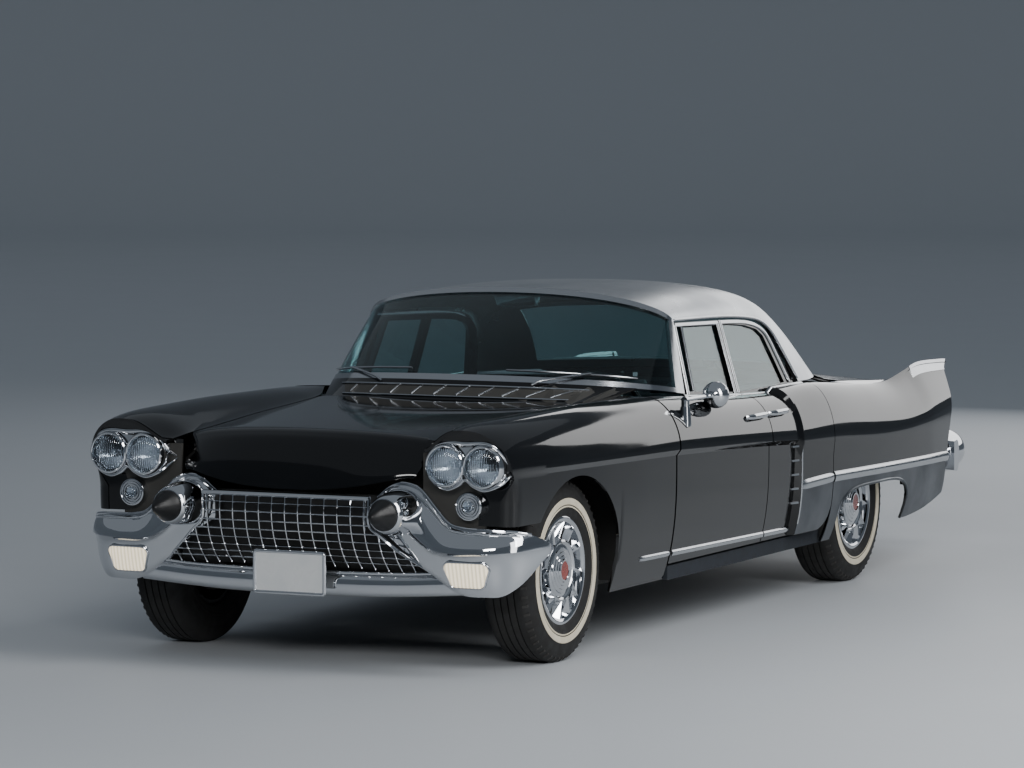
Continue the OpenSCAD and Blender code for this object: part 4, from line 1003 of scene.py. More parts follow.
def wing_ring(x):
    """Section of the bumper wing: a rounded lower face that flares to the fold, and a sloping upper face."""
    _, ty, tz, fy, fz, ly, lz, back = station(BUMPER_WING, x)
    at = lambda y, z: np.array([x, y, z])
    low, fold, top = at(ly, lz), at(fy, fz), at(ty, tz)
    low_handles = at(lerp(ly, fy, 0.5), lerp(lz, fz, 0.25)), at(lerp(fy, ly, 0.7), lerp(fz, lz, 0.06))
    top_handles = at(fy - 2, lerp(fz, tz, 0.35)), at(lerp(ty, fy, 0.45), lerp(tz, fz, 0.12))
    lower = [bezier(low, *low_handles, fold, t) for t in np.linspace(0, 1, 9)]
    upper = [bezier(fold, *top_handles, top, t) for t in np.linspace(0, 1, 9)[1:]]
    return lower + upper + [at(back, tz - 6), at(back, lz + 6)]


def bar_ring(x):
    """Section of the bar between the wings, round in front."""
    _, y, a, b = station(BUMPER_BAR, abs(x))
    front = [np.array([x, y + 40 * (1 - math.cos(math.radians(k)) ** 0.7), (a + b) / 2 + (b - a) / 2
                       * math.sin(math.radians(k))]) for k in np.linspace(-89, 89, 15)]
    return front + [np.array([x, y + 60, b - 8]), np.array([x, y + 60, a + 8])]


wing_stations = spread([352, 600, 800, 930, 990], 14)
bead_path = np.array([[x, *station(BUMPER_WING, x)[1:3]] for x in wing_stations if x < 960])
bead = strip(bead_path + np.array([0, -3, 0]), (0, -0.6, 1), 14, 7)
lower_path = [wing_ring(x)[LOWER_BEAD_PLACE] for x in wing_stations if x < 940]
lower_bead = strip(lower_path, (0, -0.8, 0.6), 10, 5)
bullet = turned([(0, 0), (90, 0), (89, 60), (86.5, 110), (81.5, 155), (75, 190), (69, 208), (64, 215),
                 (60, 216), (0, 216)], BULLET_AT)
half_bumper = joined(loft([wing_ring(x) for x in wing_stations]), bead, lower_bead, bullet)
bar = loft([bar_ring(x) for x in spread([-700, 0, 700], 25)])
bar_rows = [(x, station(BUMPER_BAR, abs(x))) for x in spread([-620, 0, 620], 25)]
bar_bead = strip([(x, row[1] + 16, row[3] + 1) for x, row in bar_rows], (0, -0.5, 1), 16, 7)
piece("front_bumper_plated", joined(half_bumper, mirrored(*half_bumper), bar, bar_bead), CHROME, "body",
      ["front_bumper"], PLATED_EDGE_DEG)
cone = turned([(0, 0), (61, 0), (61, 6), (57, 14), (30, 74), (14, 103), (6, 109), (0, 110.8)], CONE_AT)
piece("bumper_cones", both(cone), TIP_RUBBER, "body", ["bumper_tips"])
print("bumper stations:", len(wing_stations))

# %% [markdown]
# ### Grille
# The grille is a lattice of thin bright bars. It bulges forward in the middle and runs back under the bumper
# at its foot. The full-height bars are copies in a row; the shorter ones end on the bumper's inner edge.

# %% Grille
# z, then y of the face
GRILLE_FACE = np.array([[398, -2448], [450, -2497], [520, -2535], [600, -2553], [678, -2548]], float)
# z, then half the width
GRILLE_EDGE = np.array([[398, 575], [480, 470], [535, 408], [575, 364], [678, 362]], float)
GRILLE_FOOT, GRILLE_TOP, GRILLE_PITCH, FULL_BARS = 398, 678, 57, 13
GRILLE_LEVELS = (424, 449, 477, 508, 541, 575, 610, 645)
AHEAD = (0, -1, 0)


def grille_point(x, z):
    return (x, station(GRILLE_FACE, z)[1], z)


def upright(x, top):
    return strip([grille_point(x, z) for z in np.linspace(GRILLE_FOOT, top, 22)], AHEAD, 7, 8, 8)


def level(half, z, wide, proud, n):
    return strip([grille_point(x, z) for x in np.linspace(-half, half, 12)], AHEAD, wide, proud, n)


def edge_height(x):
    return float(np.interp(-abs(x), -GRILLE_EDGE[:, 1], GRILLE_EDGE[:, 0]))


full_bars = copies(upright(0, GRILLE_TOP), FULL_BARS, CHROME, step_mm=(GRILLE_PITCH, 0, 0))
first_bar = Matrix.Translation((-(FULL_BARS // 2) * GRILLE_PITCH * MM, 0, 0))
set_mesh("grille_uprights", full_bars, "body", first_bar)
lattice = [upright(side * k * GRILLE_PITCH, edge_height(k * GRILLE_PITCH))
           for k in (7, 8, 9, 10) for side in (1, -1)]
lattice += [level(float(np.interp(z, *GRILLE_EDGE.T)), z, 7, 9, 8) for z in GRILLE_LEVELS]
lattice.append(level(364, GRILLE_TOP, 20, 13, 10))
for side in (1, -1):
    rail = smooth_path([grille_point(side * x, z) for z, x in GRILLE_EDGE], 30)
    lattice.append(strip(rail, AHEAD, 12, 9, 8))
piece("grille_lattice", joined(*lattice), CHROME, "body", ["grille"])
print("grille bars:", FULL_BARS + len(lattice))

# %% [markdown]
# ### Lens flutes
# Lamp glass is pressed with flutes that spread the beam, and they are what makes a lens sparkle. Flutes of
# about 10 mm could be modelled, but a sine bump in the glass gives the same light with far fewer faces. The
# cream lenses also carry a little painted glow, brighter on each ridge: painted highlights on the flutes.

# %% Lens flutes
# Colour of the painted glow in the cream lenses.
PAINTED_GLOW = "#fff0d2"
FLUTE_HEIGHT = 0.002


def wavy(material, pitch_mm, axis, depth, glow=None):
    """Pressed flutes: a sine bump of that pitch across an axis, and, if given, a painted glow brighter on
    each ridge.
    """
    tree = material.node_tree
    shader = tree.nodes["Principled BSDF"]
    place = add_node(tree, "ShaderNodeTexCoord")
    waves = {"bands_direction": axis, "Scale": 2 * math.pi / (20 * pitch_mm * MM)}
    wave = add_node(tree, "ShaderNodeTexWave", waves, {"Vector": place.outputs["Object"]})
    bump = add_node(tree, "ShaderNodeBump", {"Strength": depth, "Distance": FLUTE_HEIGHT},
                    {"Height": wave.outputs["Fac"]})
    tree.links.new(bump.outputs["Normal"], shader.inputs["Normal"])
    # Painted light: emission that is brightest on each ridge, standing in for highlights on the flutes.
    if glow:
        shine = add_node(tree, "ShaderNodeMapRange", {"To Min": glow[0], "To Max": glow[1]},
                         {"Value": wave.outputs["Fac"]})
        tree.links.new(shine.outputs["Result"], shader.inputs["Emission Strength"])
        shader.inputs["Emission Color"].default_value = linear(PAINTED_GLOW)


wavy(LENS_GLASS, 9, "X", 0.6)
# The cream lenses carry the painted glow.
wavy(CREAM_GLASS, 16, "X", 0.6, (0.45, 1.15))
wavy(RED_GLASS, 10, "Z", 0.4)
print("a glow that is linear:", linear(PAINTED_GLOW))

# %% [markdown]
# ### Headlamps
# Each headlamp is a sealed unit: a silvered bowl behind a domed lens, in a plated ring. All three are turned
# on one axis, so they fit into each other. The four lamps are the same.

# %% Headlamps
LAMP_X, LAMP_Y, LAMP_Z = (659, 817, -659, -817), -2420, 811
RISING = np.linspace(0, math.pi / 2, 9)
lens_profile = [(72 * math.cos(a), 55 + 22 * math.sin(a)) for a in RISING[:-1]] + [(0, 77), (0, 72)]
lens_profile += [(68 * math.cos(a), 51 + 21 * math.sin(a)) for a in np.linspace(math.pi / 2, 0, 9)[1:]]
bowl_profile = [(0, 2), (71.6, 2), (71.6, 50), (68, 50)]
bowl_profile += [(68 * math.sqrt(s), 8 + 40 * s) for s in np.linspace(1, 0.03, 9)] + [(10, 30), (0, 33)]
ring_profile = [(72.2, 0), (85, 0), (85, 62), (84, 74), (80.5, 82), (76, 84.5), (73, 82), (72.2, 76)]
for label, profile, material, slot, nodes in (
        ("headlamp_lenses", lens_profile, LENS_GLASS, "lamp_glass", ["headlamps"]),
        ("headlamp_bowls", bowl_profile, REFLECTOR, "chrome", ()),
        ("headlamp_rings", ring_profile, CHROME, "chrome", ["headlamp_bezels"])):
    four = [turned(profile, (x, LAMP_Y, LAMP_Z), segments=72) for x in LAMP_X]
    piece(label, joined(*four), material, "body", nodes)
print("headlamps:", len(LAMP_X))

# %% [markdown]
# ### Brows and ring lamps
# A plated brow runs over each pair of lamps and tapers back along the wing and towards the bonnet. A thinner
# one runs below, and a small web fills the gap between the two rings. Under each pair stands a small lamp in
# stepped rings.

# %% Brows and ring lamps
BROW_X, BROW_R = 738, 88
RING_LAMP_AT = (738, -2420, 655)
brow_over = smooth_path([
    (924, -2335, 786), (910, -2405, 803), (896, -2452, 838), (862, -2474, 886), (817, -2480, 901),
    (738, -2482, 899), (659, -2480, 901), (612, -2474, 886), (578, -2460, 836), (560, -2430, 812),
    (548, -2412, 800)], 70)
brow_under = smooth_path([
    (924, -2335, 784), (906, -2430, 776), (876, -2462, 742), (817, -2474, 721), (768, -2478, 738),
    (738, -2480, 760), (708, -2478, 738), (659, -2474, 721), (598, -2462, 744), (566, -2435, 778),
    (548, -2412, 798)], 70)


def plaque(outline, at, depths):
    """Stack of outlines: depths are (how far forward, scale)."""
    return loft([[(at[0] + x * k, at[1] - d, at[2] + z * k) for x, z in outline] for d, k in depths])


def lamp_arc(x, first, last):
    """Part of a circle round a lamp at x, from the middle of the brow."""
    return [(x + BROW_R * math.cos(math.radians(a)) - BROW_X, BROW_R * math.sin(math.radians(a)))
            for a in np.linspace(first, last, 9)]


web = plaque(lamp_arc(659, 88, 26) + lamp_arc(817, 154, 92) + [(79, 92), (-79, 92)], (BROW_X, -2450, LAMP_Z),
             [(0, 1), (30, 1)])
brow = joined(strip(brow_over, (0, -1, 0.25), 24, 12, taper=0.8),
              strip(brow_under, (0, -1, -0.25), 13, 8, taper=0.7), web)
piece("lamp_brows", both(brow), CHROME, "body")
ring_lamp = turned([(0, 0), (56, 0), (56, 30), (53, 35), (49, 36), (47, 30), (44, 30), (42, 37), (39, 37),
                    (37, 30), (34, 30), (32, 38), (29, 38), (27, 31), (24, 31), (0, 31)], RING_LAMP_AT)
piece("ring_lamp_bodies", both(ring_lamp), CHROME, "body")
ring_glass = turned([(0, 31.5), (23, 31.5), (22, 38), (14, 44), (0, 46)], RING_LAMP_AT, segments=48)
piece("ring_lamp_glasses", both(ring_glass), LENS_GLASS, "body")
print("brow points:", len(brow[0]))

# %% [markdown]
# ### Bumper lamps and plates
# The lower lamps sit in the bumper's corners: cream lenses with rounded corners, wider at the top, in a thin
# plated frame. Lens and frame take their depth from the bumper's own section, so they lie on it. The plates
# in front and behind are blank enamel in a plated frame.

# %% Bumper lamps and plates
CORNER_LAMP_X, CORNER_LAMP_Z = 741, 393
FRONT_PLATE, REAR_PLATE = (0, -2508, 376), (0, 2704, 500)


def rounded(width_top, width_low, height, radius, n=6):
    """Outline with round corners, wider at the top, around its middle."""
    corners = [(width_top / 2, height / 2), (-width_top / 2, height / 2), (-width_low / 2, -height / 2),
               (width_low / 2, -height / 2)]
    outline = []
    for k, (x, z) in enumerate(corners):
        cx, cz = x - math.copysign(radius, x), z - math.copysign(radius, z)
        outline += [(cx + radius * math.cos(math.radians(a)), cz + radius * math.sin(math.radians(a)))
                    for a in np.linspace(90 * k, 90 * k + 90, n)]
    return outline


def bumper_face(x, z):
    """How far forward the bumper's lower face is at a point of the front view."""
    lower = np.array(wing_ring(x)[:9])
    return float(np.interp(z, lower[:, 2], lower[:, 1]))


def on_bumper(outline, proud, scale):
    spots = [(CORNER_LAMP_X + x * scale, CORNER_LAMP_Z + z * scale) for x, z in outline]
    return [(x, bumper_face(x, z) - proud, z) for x, z in spots]


lamp_shape = rounded(186, 150, 100, 26)
lens_steps = ((-10, 0.98), (4, 0.98), (8, 0.94), (10, 0.8))
corner_lens = loft([on_bumper(lamp_shape, proud, scale) for proud, scale in lens_steps])
piece("bumper_lamp_lenses", both(corner_lens), CREAM_GLASS, "body", ["marker_lamps"])
corner_rim = strip(on_bumper(lamp_shape + lamp_shape[:1], 2, 1.0), AHEAD, 9, 8)
piece("bumper_lamp_rims", both(corner_rim), CHROME, "body")
blank = rounded(304, 304, 160, 10)
plate_front = plaque(blank, FRONT_PLATE, [(0, 1), (10, 1), (11.5, 0.99)])
plate_rear = plaque(blank, REAR_PLATE, [(-1, 1), (-10, 1), (-11.5, 0.99)])
piece("blank_plates", joined(plate_front, plate_rear), PLATE_ENAMEL, "body", ["number_plates"])
plate_edge = blank + blank[:1]
frames = [strip([(x, -2518, FRONT_PLATE[2] + z) for x, z in plate_edge], AHEAD, 16, 7),
          strip([(x, 2712, REAR_PLATE[2] + z) for x, z in plate_edge], (0, 1, 0), 16, 4)]
piece("plate_frames", joined(*frames), CHROME, "body")
print("points on a lamp's outline:", len(lamp_shape))

# %% [markdown]
# ## Side trim
# The mouldings are rolled from stainless strip and clipped to the panels. Each one follows its panel's own
# surface, and is cut at the door gaps so that it moves with its door. A Shrinkwrap modifier would lay a curve
# on the panel too; here the table of the side gives the place directly.

# %% Mouldings along the side
OUT = (1, 0, 0)
ROCKER = [(-1233, 345), (45, 328), (388, 324)]
WAIST = [(414, 515), (777, 524), (2243, 504), (2369, 500)]


def flank(table, y, z):
    row = station(table, y)
    return tucked(row[1], z, row[2])


def side_line(table, y0, y1, heights, lift):
    """Path on the lower side from y0 to y1; heights are (y, z) pairs."""
    spots = [(y, float(np.interp(y, *zip(*heights)))) for y in np.linspace(y0, y1, 40)]
    return [(flank(table, y, z) + lift, y, z) for y, z in spots]


# name, table, first and last y, heights, lift off the panel, width, depth, taper, bodies
SIDE_STRIPS = (
    ("rocker_moulding_wing", SIDE_FRONT, -1233, -928, ROCKER, 1, 24, 7, 0.4, ON_BODY),
    ("rocker_moulding_front", SIDE_FRONT, -912, 79, ROCKER, 3, 26, 8, 0.0, FRONT_DOORS),
    ("rocker_moulding_rear", SIDE_FRONT, 91, 386, ROCKER, 3, 26, 8, 0.0, REAR_DOORS),
    ("waist_moulding_rear_door", SIDE_REAR, 414, 770, WAIST, 3, 46, 9, 0.3, REAR_DOORS),
    ("waist_moulding_quarter", SIDE_REAR, 784, 2340, WAIST, 1, 48, 10, 0.0, ON_BODY))
for name, table, y0, y1, heights, lift, wide, proud, taper, bodies in SIDE_STRIPS:
    path = side_line(table, y0, y1, heights, lift)
    pair(name, strip(path, OUT, wide, proud, taper=taper), MOULDING, bodies)
print("mouldings on each side:", len(SIDE_STRIPS))

# %% [markdown]
# ### Brushed panel below the waist
# Below the waist moulding the rear door and the quarter carry a thin brushed sheet. It lies on the panel and
# takes the panel's lower edge, the wheel opening included. A narrow lip of the same metal edges the opening.

# %% Brushed panel below the waist moulding
SHEET = np.array([3, 0, 0])


def lower_sheet(columns, lift, n):
    """Sheet from the foot of each column (y, foot) up to the waist moulding."""
    grid = np.array([[(flank(SIDE_REAR, y, z) + lift, y, z)
                      for z in np.linspace(foot + 2, np.interp(y, *zip(*WAIST)), n)] for y, foot in columns])
    return shell(grid, grid - SHEET)


quarter_feet = [(y, foot) for y, foot in rear_feet if y < 2330]
door_feet = [(y, door_heel(y)) for y in spread([412, 770], 16)]
pair("lower_panel_quarter", lower_sheet(quarter_feet, 1.4, 16), SILL_ALLOY, ON_BODY)
pair("lower_panel_door", lower_sheet(door_feet, 3.2, 14), SILL_ALLOY, REAR_DOORS)
opening_path = [(flank(SIDE_REAR, y, foot + 4) + 2, y, foot + 3) for y, foot in rear_feet
                if opening[0] + 2 <= y <= opening[1] - 2]
pair("wheel_opening_lip", strip(opening_path, OUT, 14, 5), SILL_ALLOY, ON_BODY)
print("columns of the sheets:", len(quarter_feet), len(door_feet))

# %% [markdown]
# ### Rear door scoop
# The rear door swells outward behind a dummy air scoop. Its lip is bright, and five short louvres stand in
# the shadow in front of it. They are one drawn blade, copied down the door by the tree.

# %% Scoop
lip_path = [(flank(SIDE_REAR, 414, z) + 2, 413, z) for z in np.linspace(345, 690, 40)]
pair("scoop_lip", strip(lip_path, (0.7, -0.7, 0), 9, 5), MOULDING, REAR_DOORS)
# x of a louvre's inner and outer face, by y: it is wider behind
LOUVRE_INNER, LOUVRE_OUTER = {352: 944, 404: 944}, {352: 952, 404: 966}
louvre = np.array([[side[y], y, z] for side in (LOUVRE_INNER, LOUVRE_OUTER) for y in side
                   for z in (684, 692)], float)
louvres = copies((louvre, LUG_FACES), 5, MOULDING, step_mm=(-1.5, 0, -62))
set_mesh("scoop_louvres_left", louvres, REAR_DOORS[0])
set_mesh("scoop_louvres_right", louvres, REAR_DOORS[1], Matrix.Diagonal((-1, 1, 1, 1)))
print("louvre faces on each side:", len(louvres.polygons))

# %% [markdown]
# ### Handles, belt moulding, drip rail and fin cap
# The handles are cast and plated bars that stand off the door between two feet. Bright strips run along the
# belt and over the windows. On the fin a bright skin covers the crown; it is cut from the quarter's own grid,
# so that it fits without a gap.

# %% Handles, belt moulding, drip rail and fin cap
HANDLE_Z, HANDLE_LIFT, HANDLE_FOOT = 851, 22, 40
BELT_SHIFT = np.array([-14, 0, 2])


def shoulder(table, y, z):
    line = np.array([side_point(table, y, t, DOOR_Z) for t in np.linspace(2, 3, 60)])
    return float(np.interp(z, line[:, 2], line[:, 0]))


def handle(y0, y1):
    ys = np.linspace(y0, y1, 24)
    lift = HANDLE_LIFT * np.clip(np.minimum(ys - y0, y1 - ys) / HANDLE_FOOT, 0, 1) ** 0.6
    path = [(shoulder(SIDE_FRONT, y, HANDLE_Z) + 3 + d, y, HANDLE_Z) for y, d in zip(ys, lift)]
    return strip(path, OUT, 24, 7, taper=0.35)


pair("handle_front", handle(-165, 68), CHROME, FRONT_DOORS)
pair("handle_rear", handle(102, 318), CHROME, REAR_DOORS)
crown_front = front_grid[front_grid[:, 0, 1] > -560][:, -1] + BELT_SHIFT
crown_rear = rear_grid[rear_grid[:, 0, 1] < 745][:, -1] + BELT_SHIFT
pair("belt_moulding_front", strip(crown_front, (0.3, 0, 1), 20, 6), MOULDING, FRONT_DOORS)
pair("belt_moulding_rear", strip(crown_rear, (0.3, 0, 1), 20, 6), MOULDING, REAR_DOORS)
rail_path = np.array([canopy_point(v, 1.0) for v in spread([0, 0.985], 0.02)]) + np.array([1, 0, -2])
pair("drip_rail", strip(rail_path, OUT, 15, 7), MOULDING, ON_BODY)
cap_cells = np.ix_([i for i, (y, foot) in enumerate(rear_feet) if y > 2020],
                   [j for j, t in enumerate(SIDE_T) if 2.74 < t < 3.16])
cap_grid, cap_out = quarter_grid[cap_cells], normals(quarter_grid)[cap_cells]
pair("fin_cap", shell(cap_grid + cap_out * 2.5, cap_grid - cap_out * 2), MOULDING, ON_BODY)
print("fin cap:", cap_grid.shape)

# %% [markdown]
# ### Mirror foot
# The driver's mirror stands on a small plated foot that is screwed to the top of the door. It is turned, and
# a little wider at its base.

# %% Mirror foot
foot_profile = [(0, 856), (25, 856), (25, 872), (23, 905), (20, 938), (0, 938)]
piece("mirror_foot", turned(foot_profile, (933, -805, 0), "up", 48), CHROME, "front_door_left")
print("mirror foot, height in mm:", foot_profile[-1][1] - foot_profile[0][1])

# %% [markdown]
# ### Window frames
# The side windows lie in one leaning plane. Bright channels frame them, and a slim divider stands behind the
# vent pane. Each channel is a strip along a few points of that plane.

# %% Window channels
BELT_X, BELT_Z = 797, 930
LEAN = (BELT_X - 701) / (1261 - BELT_Z)
CHANNEL_OUT = 2


def channel(path, wide):
    spots = [(BELT_X - LEAN * (z - BELT_Z) + CHANNEL_OUT, y, z + CHANNEL_OUT * LEAN) for y, z in path]
    return strip(smooth_path(spots, 40), (1, 0, LEAN), wide, 5, 8)


front_channel = joined(channel([(-437, 950), (-392, 1249)], 22), channel([(-392, 1249), (70, 1239)], 19),
                       channel([(67, 1244), (67, 936)], 20), channel([(-371, 972), (-323, 1240)], 13))
rear_bow = [(100, 1239), (250, 1234), (390, 1225), (510, 1202), (582, 1163), (637, 1073), (700, 950)]
rear_channel = joined(channel([(103, 936), (103, 1244)], 20), channel(rear_bow, 20))
pair("window_channel_front", front_channel, MOULDING, FRONT_DOORS)
pair("window_channel_rear", rear_channel, MOULDING, REAR_DOORS)

# %% [markdown]
# ## Cowl and wipers
# Air for the heater enters in front of the windscreen, through a slot with slanted bright fins. Two wipers
# rest along the foot of the glass. All of it is placed by two shares: across the car, and from the bonnet's
# edge up to the glass.

# %% Cowl
COWL_UP = np.array([0, -0.8, 0.6])


def cowl_point(f, g, lift):
    """f runs across from -1 to 1, g from the bonnet's edge up to the glass."""
    front = np.array([596 * f, -1128 + 38 * f * f, 950])
    angle = math.degrees(math.asin((710 * abs(f) / 785) ** 1.25)) * np.sign(f)
    return lerp(front, screen_point(0, angle), g) + COWL_UP * lift


def wiper(side):
    blade = [screen_point(0.1, a) + np.array([0, -10, 6]) for a in np.linspace(62, 12, 30) * side]
    arm = [cowl_point(0.5 * side, 0.86, 8), cowl_point(0.54 * side, 1.0, 18),
           blade[12] + np.array([0, -4, 6])]
    return joined(strip(blade, (0, -1, 0.6), 9, 5), strip(smooth_path(arm, 16), (0, -1, 0.6), 10, 5))


cowl_grid = np.array([[cowl_point(f, g, 2) for g in np.linspace(0, 1, 8)] for f in np.linspace(1, -1, 41)])
cowl = shell(cowl_grid, cowl_grid - np.array([0, -1.6, 1.2]))
piece("cowl_panel", cowl, LACQUER, "body")
# Painted shade: the dark of the opening under the fins is a satin black sheet laid on the cowl.
slot_grid = np.array([[cowl_point(f, g, 3) for g in (0.26, 0.68)] for f in np.linspace(0.82, -0.82, 41)])
slot_shade_sheet = shell(slot_grid, slot_grid - np.array([0, -1.0, 0.8]))
piece("cowl_slot_painted_shade", slot_shade_sheet, SATIN_BLACK, "body")
FIN_SLANT = ((-0.034, 0.3), (0, 0.47), (0.034, 0.64))
fins = [strip([cowl_point(f + d, g, 4) for d, g in FIN_SLANT], COWL_UP, 8, 7)
        for f in np.linspace(-0.74, 0.74, 10)]
edges = [strip([cowl_point(f, g, 3) for f in np.linspace(-0.84, 0.84, 40)], COWL_UP, wide, 6)
         for g, wide in ((0.22, 9), (0.74, 10))]
piece("cowl_fins", joined(*fins, *edges), MOULDING, "body")
piece("wipers", joined(wiper(1), wiper(-1)), MOULDING, "body")
print("cowl fins:", len(fins))

# %% [markdown]
# ## Rear end
# The rear bumper sweeps up into round pods that hold the red lamps. The bar is lofted across the car, and
# the pods and lamps are turned. A small lamp stands higher up in each fin.

# %% Rear bumper
REAR_HALF = 940
POD_AT, TAIL_LAMP_AT, FIN_LAMP_AT = (812, 2396, 500), (812, 2720.5, 500), (872, 2396, 775)


def rear_ring(x):
    """Section of the rear bar, round behind."""
    y = lerp(2690, 2560, (abs(x) / REAR_HALF) ** 4)
    front = [(x, y - 40 * (1 - math.cos(math.radians(k)) ** 0.7), 490 + 75 * math.sin(math.radians(k)))
             for k in np.linspace(89, -89, 17)]
    return front + [(x, y - 70, 420), (x, y - 70, 560)]


sweep = loft([rear_ring(x) for x in spread([-REAR_HALF, -800, 0, 800, REAR_HALF], 30)])
tail_pod = turned([(0, 0), (98, 0), (101, 80), (104, 160), (104, 240), (101, 300), (96, 334), (90, 349),
                   (84, 351), (77, 347), (73, 338), (73, 324), (0, 324)], POD_AT, "back", 72)
piece("rear_bumper_plated", joined(sweep, tail_pod, mirrored(*tail_pod)), CHROME, "body",
      ["rear_bumper"], PLATED_EDGE_DEG)
tail_lamp = turned([(0, 0), (72, 0), (72, 8), (62, 14), (34, 18), (0, 19)], TAIL_LAMP_AT, "back")
fin_lamp = turned([(0, 0), (18, 0), (18, 70), (12, 82), (0, 85)], FIN_LAMP_AT, "back", 32)
lamps = joined(tail_lamp, mirrored(*tail_lamp), fin_lamp, mirrored(*fin_lamp))
piece("tail_lamp_lenses", lamps, RED_GLASS, "body", ["tail_lamps"])
print("tail lamp points:", len(lamps[0]))

# %% [markdown]
# ## Cabin
# Bench seats with sewn covers. Each cushion starts as a boxed form a little smaller than the finished one.
# Its skin is remeshed evenly and blown up with Blender's cloth, as stuffing fills a cover, and the travel of
# every point is capped. Sculpting would give one good cushion; the cloth gives all four forms alike.

# %% Stuffed covers
COVER_MARGIN, COVER_CELL, TRAVEL_CAP = 14, 14, 24
CORNER_BEVEL = 0.03
PRESSURE, CLOTH_FRAMES = 4, 20


def boxed_form(size):
    builder = bmesh.new()
    bmesh.ops.create_cube(builder, size=1.0)
    bmesh.ops.scale(builder, vec=[(s - 2 * COVER_MARGIN) * MM for s in size], verts=builder.verts)
    bmesh.ops.bevel(builder, geom=builder.edges[:], offset=CORNER_BEVEL, segments=3, affect="EDGES",
                    profile=0.5)
    mesh = bpy.data.meshes.new("form")
    builder.to_mesh(mesh)
    builder.free()
    return mesh


def evaluated(holder):
    """Plain mesh of an object with its modifiers applied."""
    return bpy.data.meshes.new_from_object(holder.evaluated_get(bpy.context.evaluated_depsgraph_get()))


def blown_up(form, rest):
    """Places of the cover's points after the cloth has filled, none farther than the cap."""
    cloth = form.modifiers.new("cover", "CLOTH")
    cloth.settings.use_pressure = True
    cloth.settings.uniform_pressure_force = PRESSURE
    cloth.settings.effector_weights.gravity = 0
    cloth.settings.quality = 4
    for number in range(1, CLOTH_FRAMES + 1):
        bpy.context.scene.frame_set(number)
    moved = np.array([v.co[:] for v in evaluated(form).vertices]) - rest
    form.modifiers.remove(cloth)
    bpy.context.scene.frame_set(1)
    moved -= moved.mean(axis=0)
    length = np.linalg.norm(moved, axis=1, keepdims=True)
    return rest + moved * np.minimum(1, TRAVEL_CAP * MM / np.maximum(length, 1e-9))


def stuffed(size):
    """Mesh of a filled cover around the origin."""
    form = bpy.data.objects.new("form", boxed_form(size))
    bpy.context.scene.collection.objects.link(form)
    even = form.modifiers.new("even", "REMESH")
    even.mode, even.voxel_size = "VOXEL", COVER_CELL * MM
    cover = evaluated(form)
    form.modifiers.remove(even)
    form.data = cover
    places = np.array([v.co[:] for v in cover.vertices])
    places = blown_up(form, places)
    for vertex, place in zip(cover.vertices, places):
        vertex.co = place
    smooth = form.modifiers.new("smooth", "SUBSURF")
    smooth.levels = smooth.render_levels = 1
    done = evaluated(form)
    form.modifiers.remove(smooth)
    bpy.data.objects.remove(form)
    return done


print("a cover fills in", CLOTH_FRAMES, "frames")

# %% [markdown]
# ### Seats
# Each bench has two cushions and two backrests, with plain boxes below. The channels are sewn along the
# depth, about 80 mm apart; a formula presses them in after the cloth, because thread holds the cover down
# while the stuffing rises between.

# %% Seats
PLEAT_PITCH, PLEAT_DEPTH, PLEAT_WIDTH = 80, 7, 6
PLEAT_REACH_X, PLEAT_REACH_Y = 0.86, 0.72
SEAT_FOOT = 252


def pleat(mesh):
    """Presses sewn channels into the top of a cushion, along its depth."""
    half_x = max(abs(v.co.x) for v in mesh.vertices)
    half_y = max(abs(v.co.y) for v in mesh.vertices)
    for v in mesh.vertices:
        if v.co.z > 0 and abs(v.co.y) < PLEAT_REACH_Y * half_y and abs(v.co.x) < PLEAT_REACH_X * half_x:
            off = (v.co.x / MM + PLEAT_PITCH / 2) % PLEAT_PITCH - PLEAT_PITCH / 2
            v.co.z -= PLEAT_DEPTH * MM * math.exp(-(off / PLEAT_WIDTH) ** 2)


def seat(name, size, place, lean):
    mesh = stuffed(size)
    pleat(mesh)
    mesh.materials.clear()
    mesh.materials.append(LEATHER)
    for side, tag in ((1, "left"), (-1, "right")):
        where = (Matrix.Translation([side * place[0] * MM, place[1] * MM, place[2] * MM])
                 @ Matrix.Rotation(math.radians(lean), 4, "X"))
        made = set_mesh(f"{name}_{tag}", mesh, "body", where, sharp=80)


def seat_base(x0, x1, y0, y1, top):
    return loft([[(x0, y0, z), (x1, y0, z), (x1, y1, z), (x0, y1, z)] for z in (SEAT_FOOT, top)])


seat("front_cushion", (640, 520, 130), (345, 20, 500), 4)
seat("front_backrest", (640, 420, 130), (345, 330, 735), 102)
seat("rear_cushion", (600, 430, 130), (318, 810, 520), 4)
seat("rear_backrest", (600, 380, 120), (318, 1115, 745), 104)
front_bases = [seat_base(x0, x1, -235, 290, 440) for x0, x1 in ((175, 690), (-690, -175))]
piece("front_seat_base", joined(*front_bases), VINYL, "body", ["front_seat"])
rear_bases = [seat_base(x0, x1, 610, 1015, 450) for x0, x1 in ((175, 620), (-620, -175))]
piece("rear_seat_base", joined(*rear_bases), VINYL, "body", ["rear_seat"])

# %% [markdown]
# ### Steering wheel
# A slim moulded rim with two spokes and a bright horn ring. Rim, hub and ring are turned about the leaning
# axis of the column; a torus primitive would do for the rim, but not for the hub.

# %% Steering wheel
COLUMN_LEAN = math.radians(68)
COLUMN_AXIS = np.array([0, math.sin(COLUMN_LEAN), math.cos(COLUMN_LEAN)])
COLUMN_UP = np.cross(COLUMN_AXIS, [1, 0, 0])
WHEEL_CENTRE = np.array([400, -640, 770]) + COLUMN_AXIS * 226
RIM_R, RIM_THICK, HORN_R, HORN_THICK = 200, 12, 130, 5


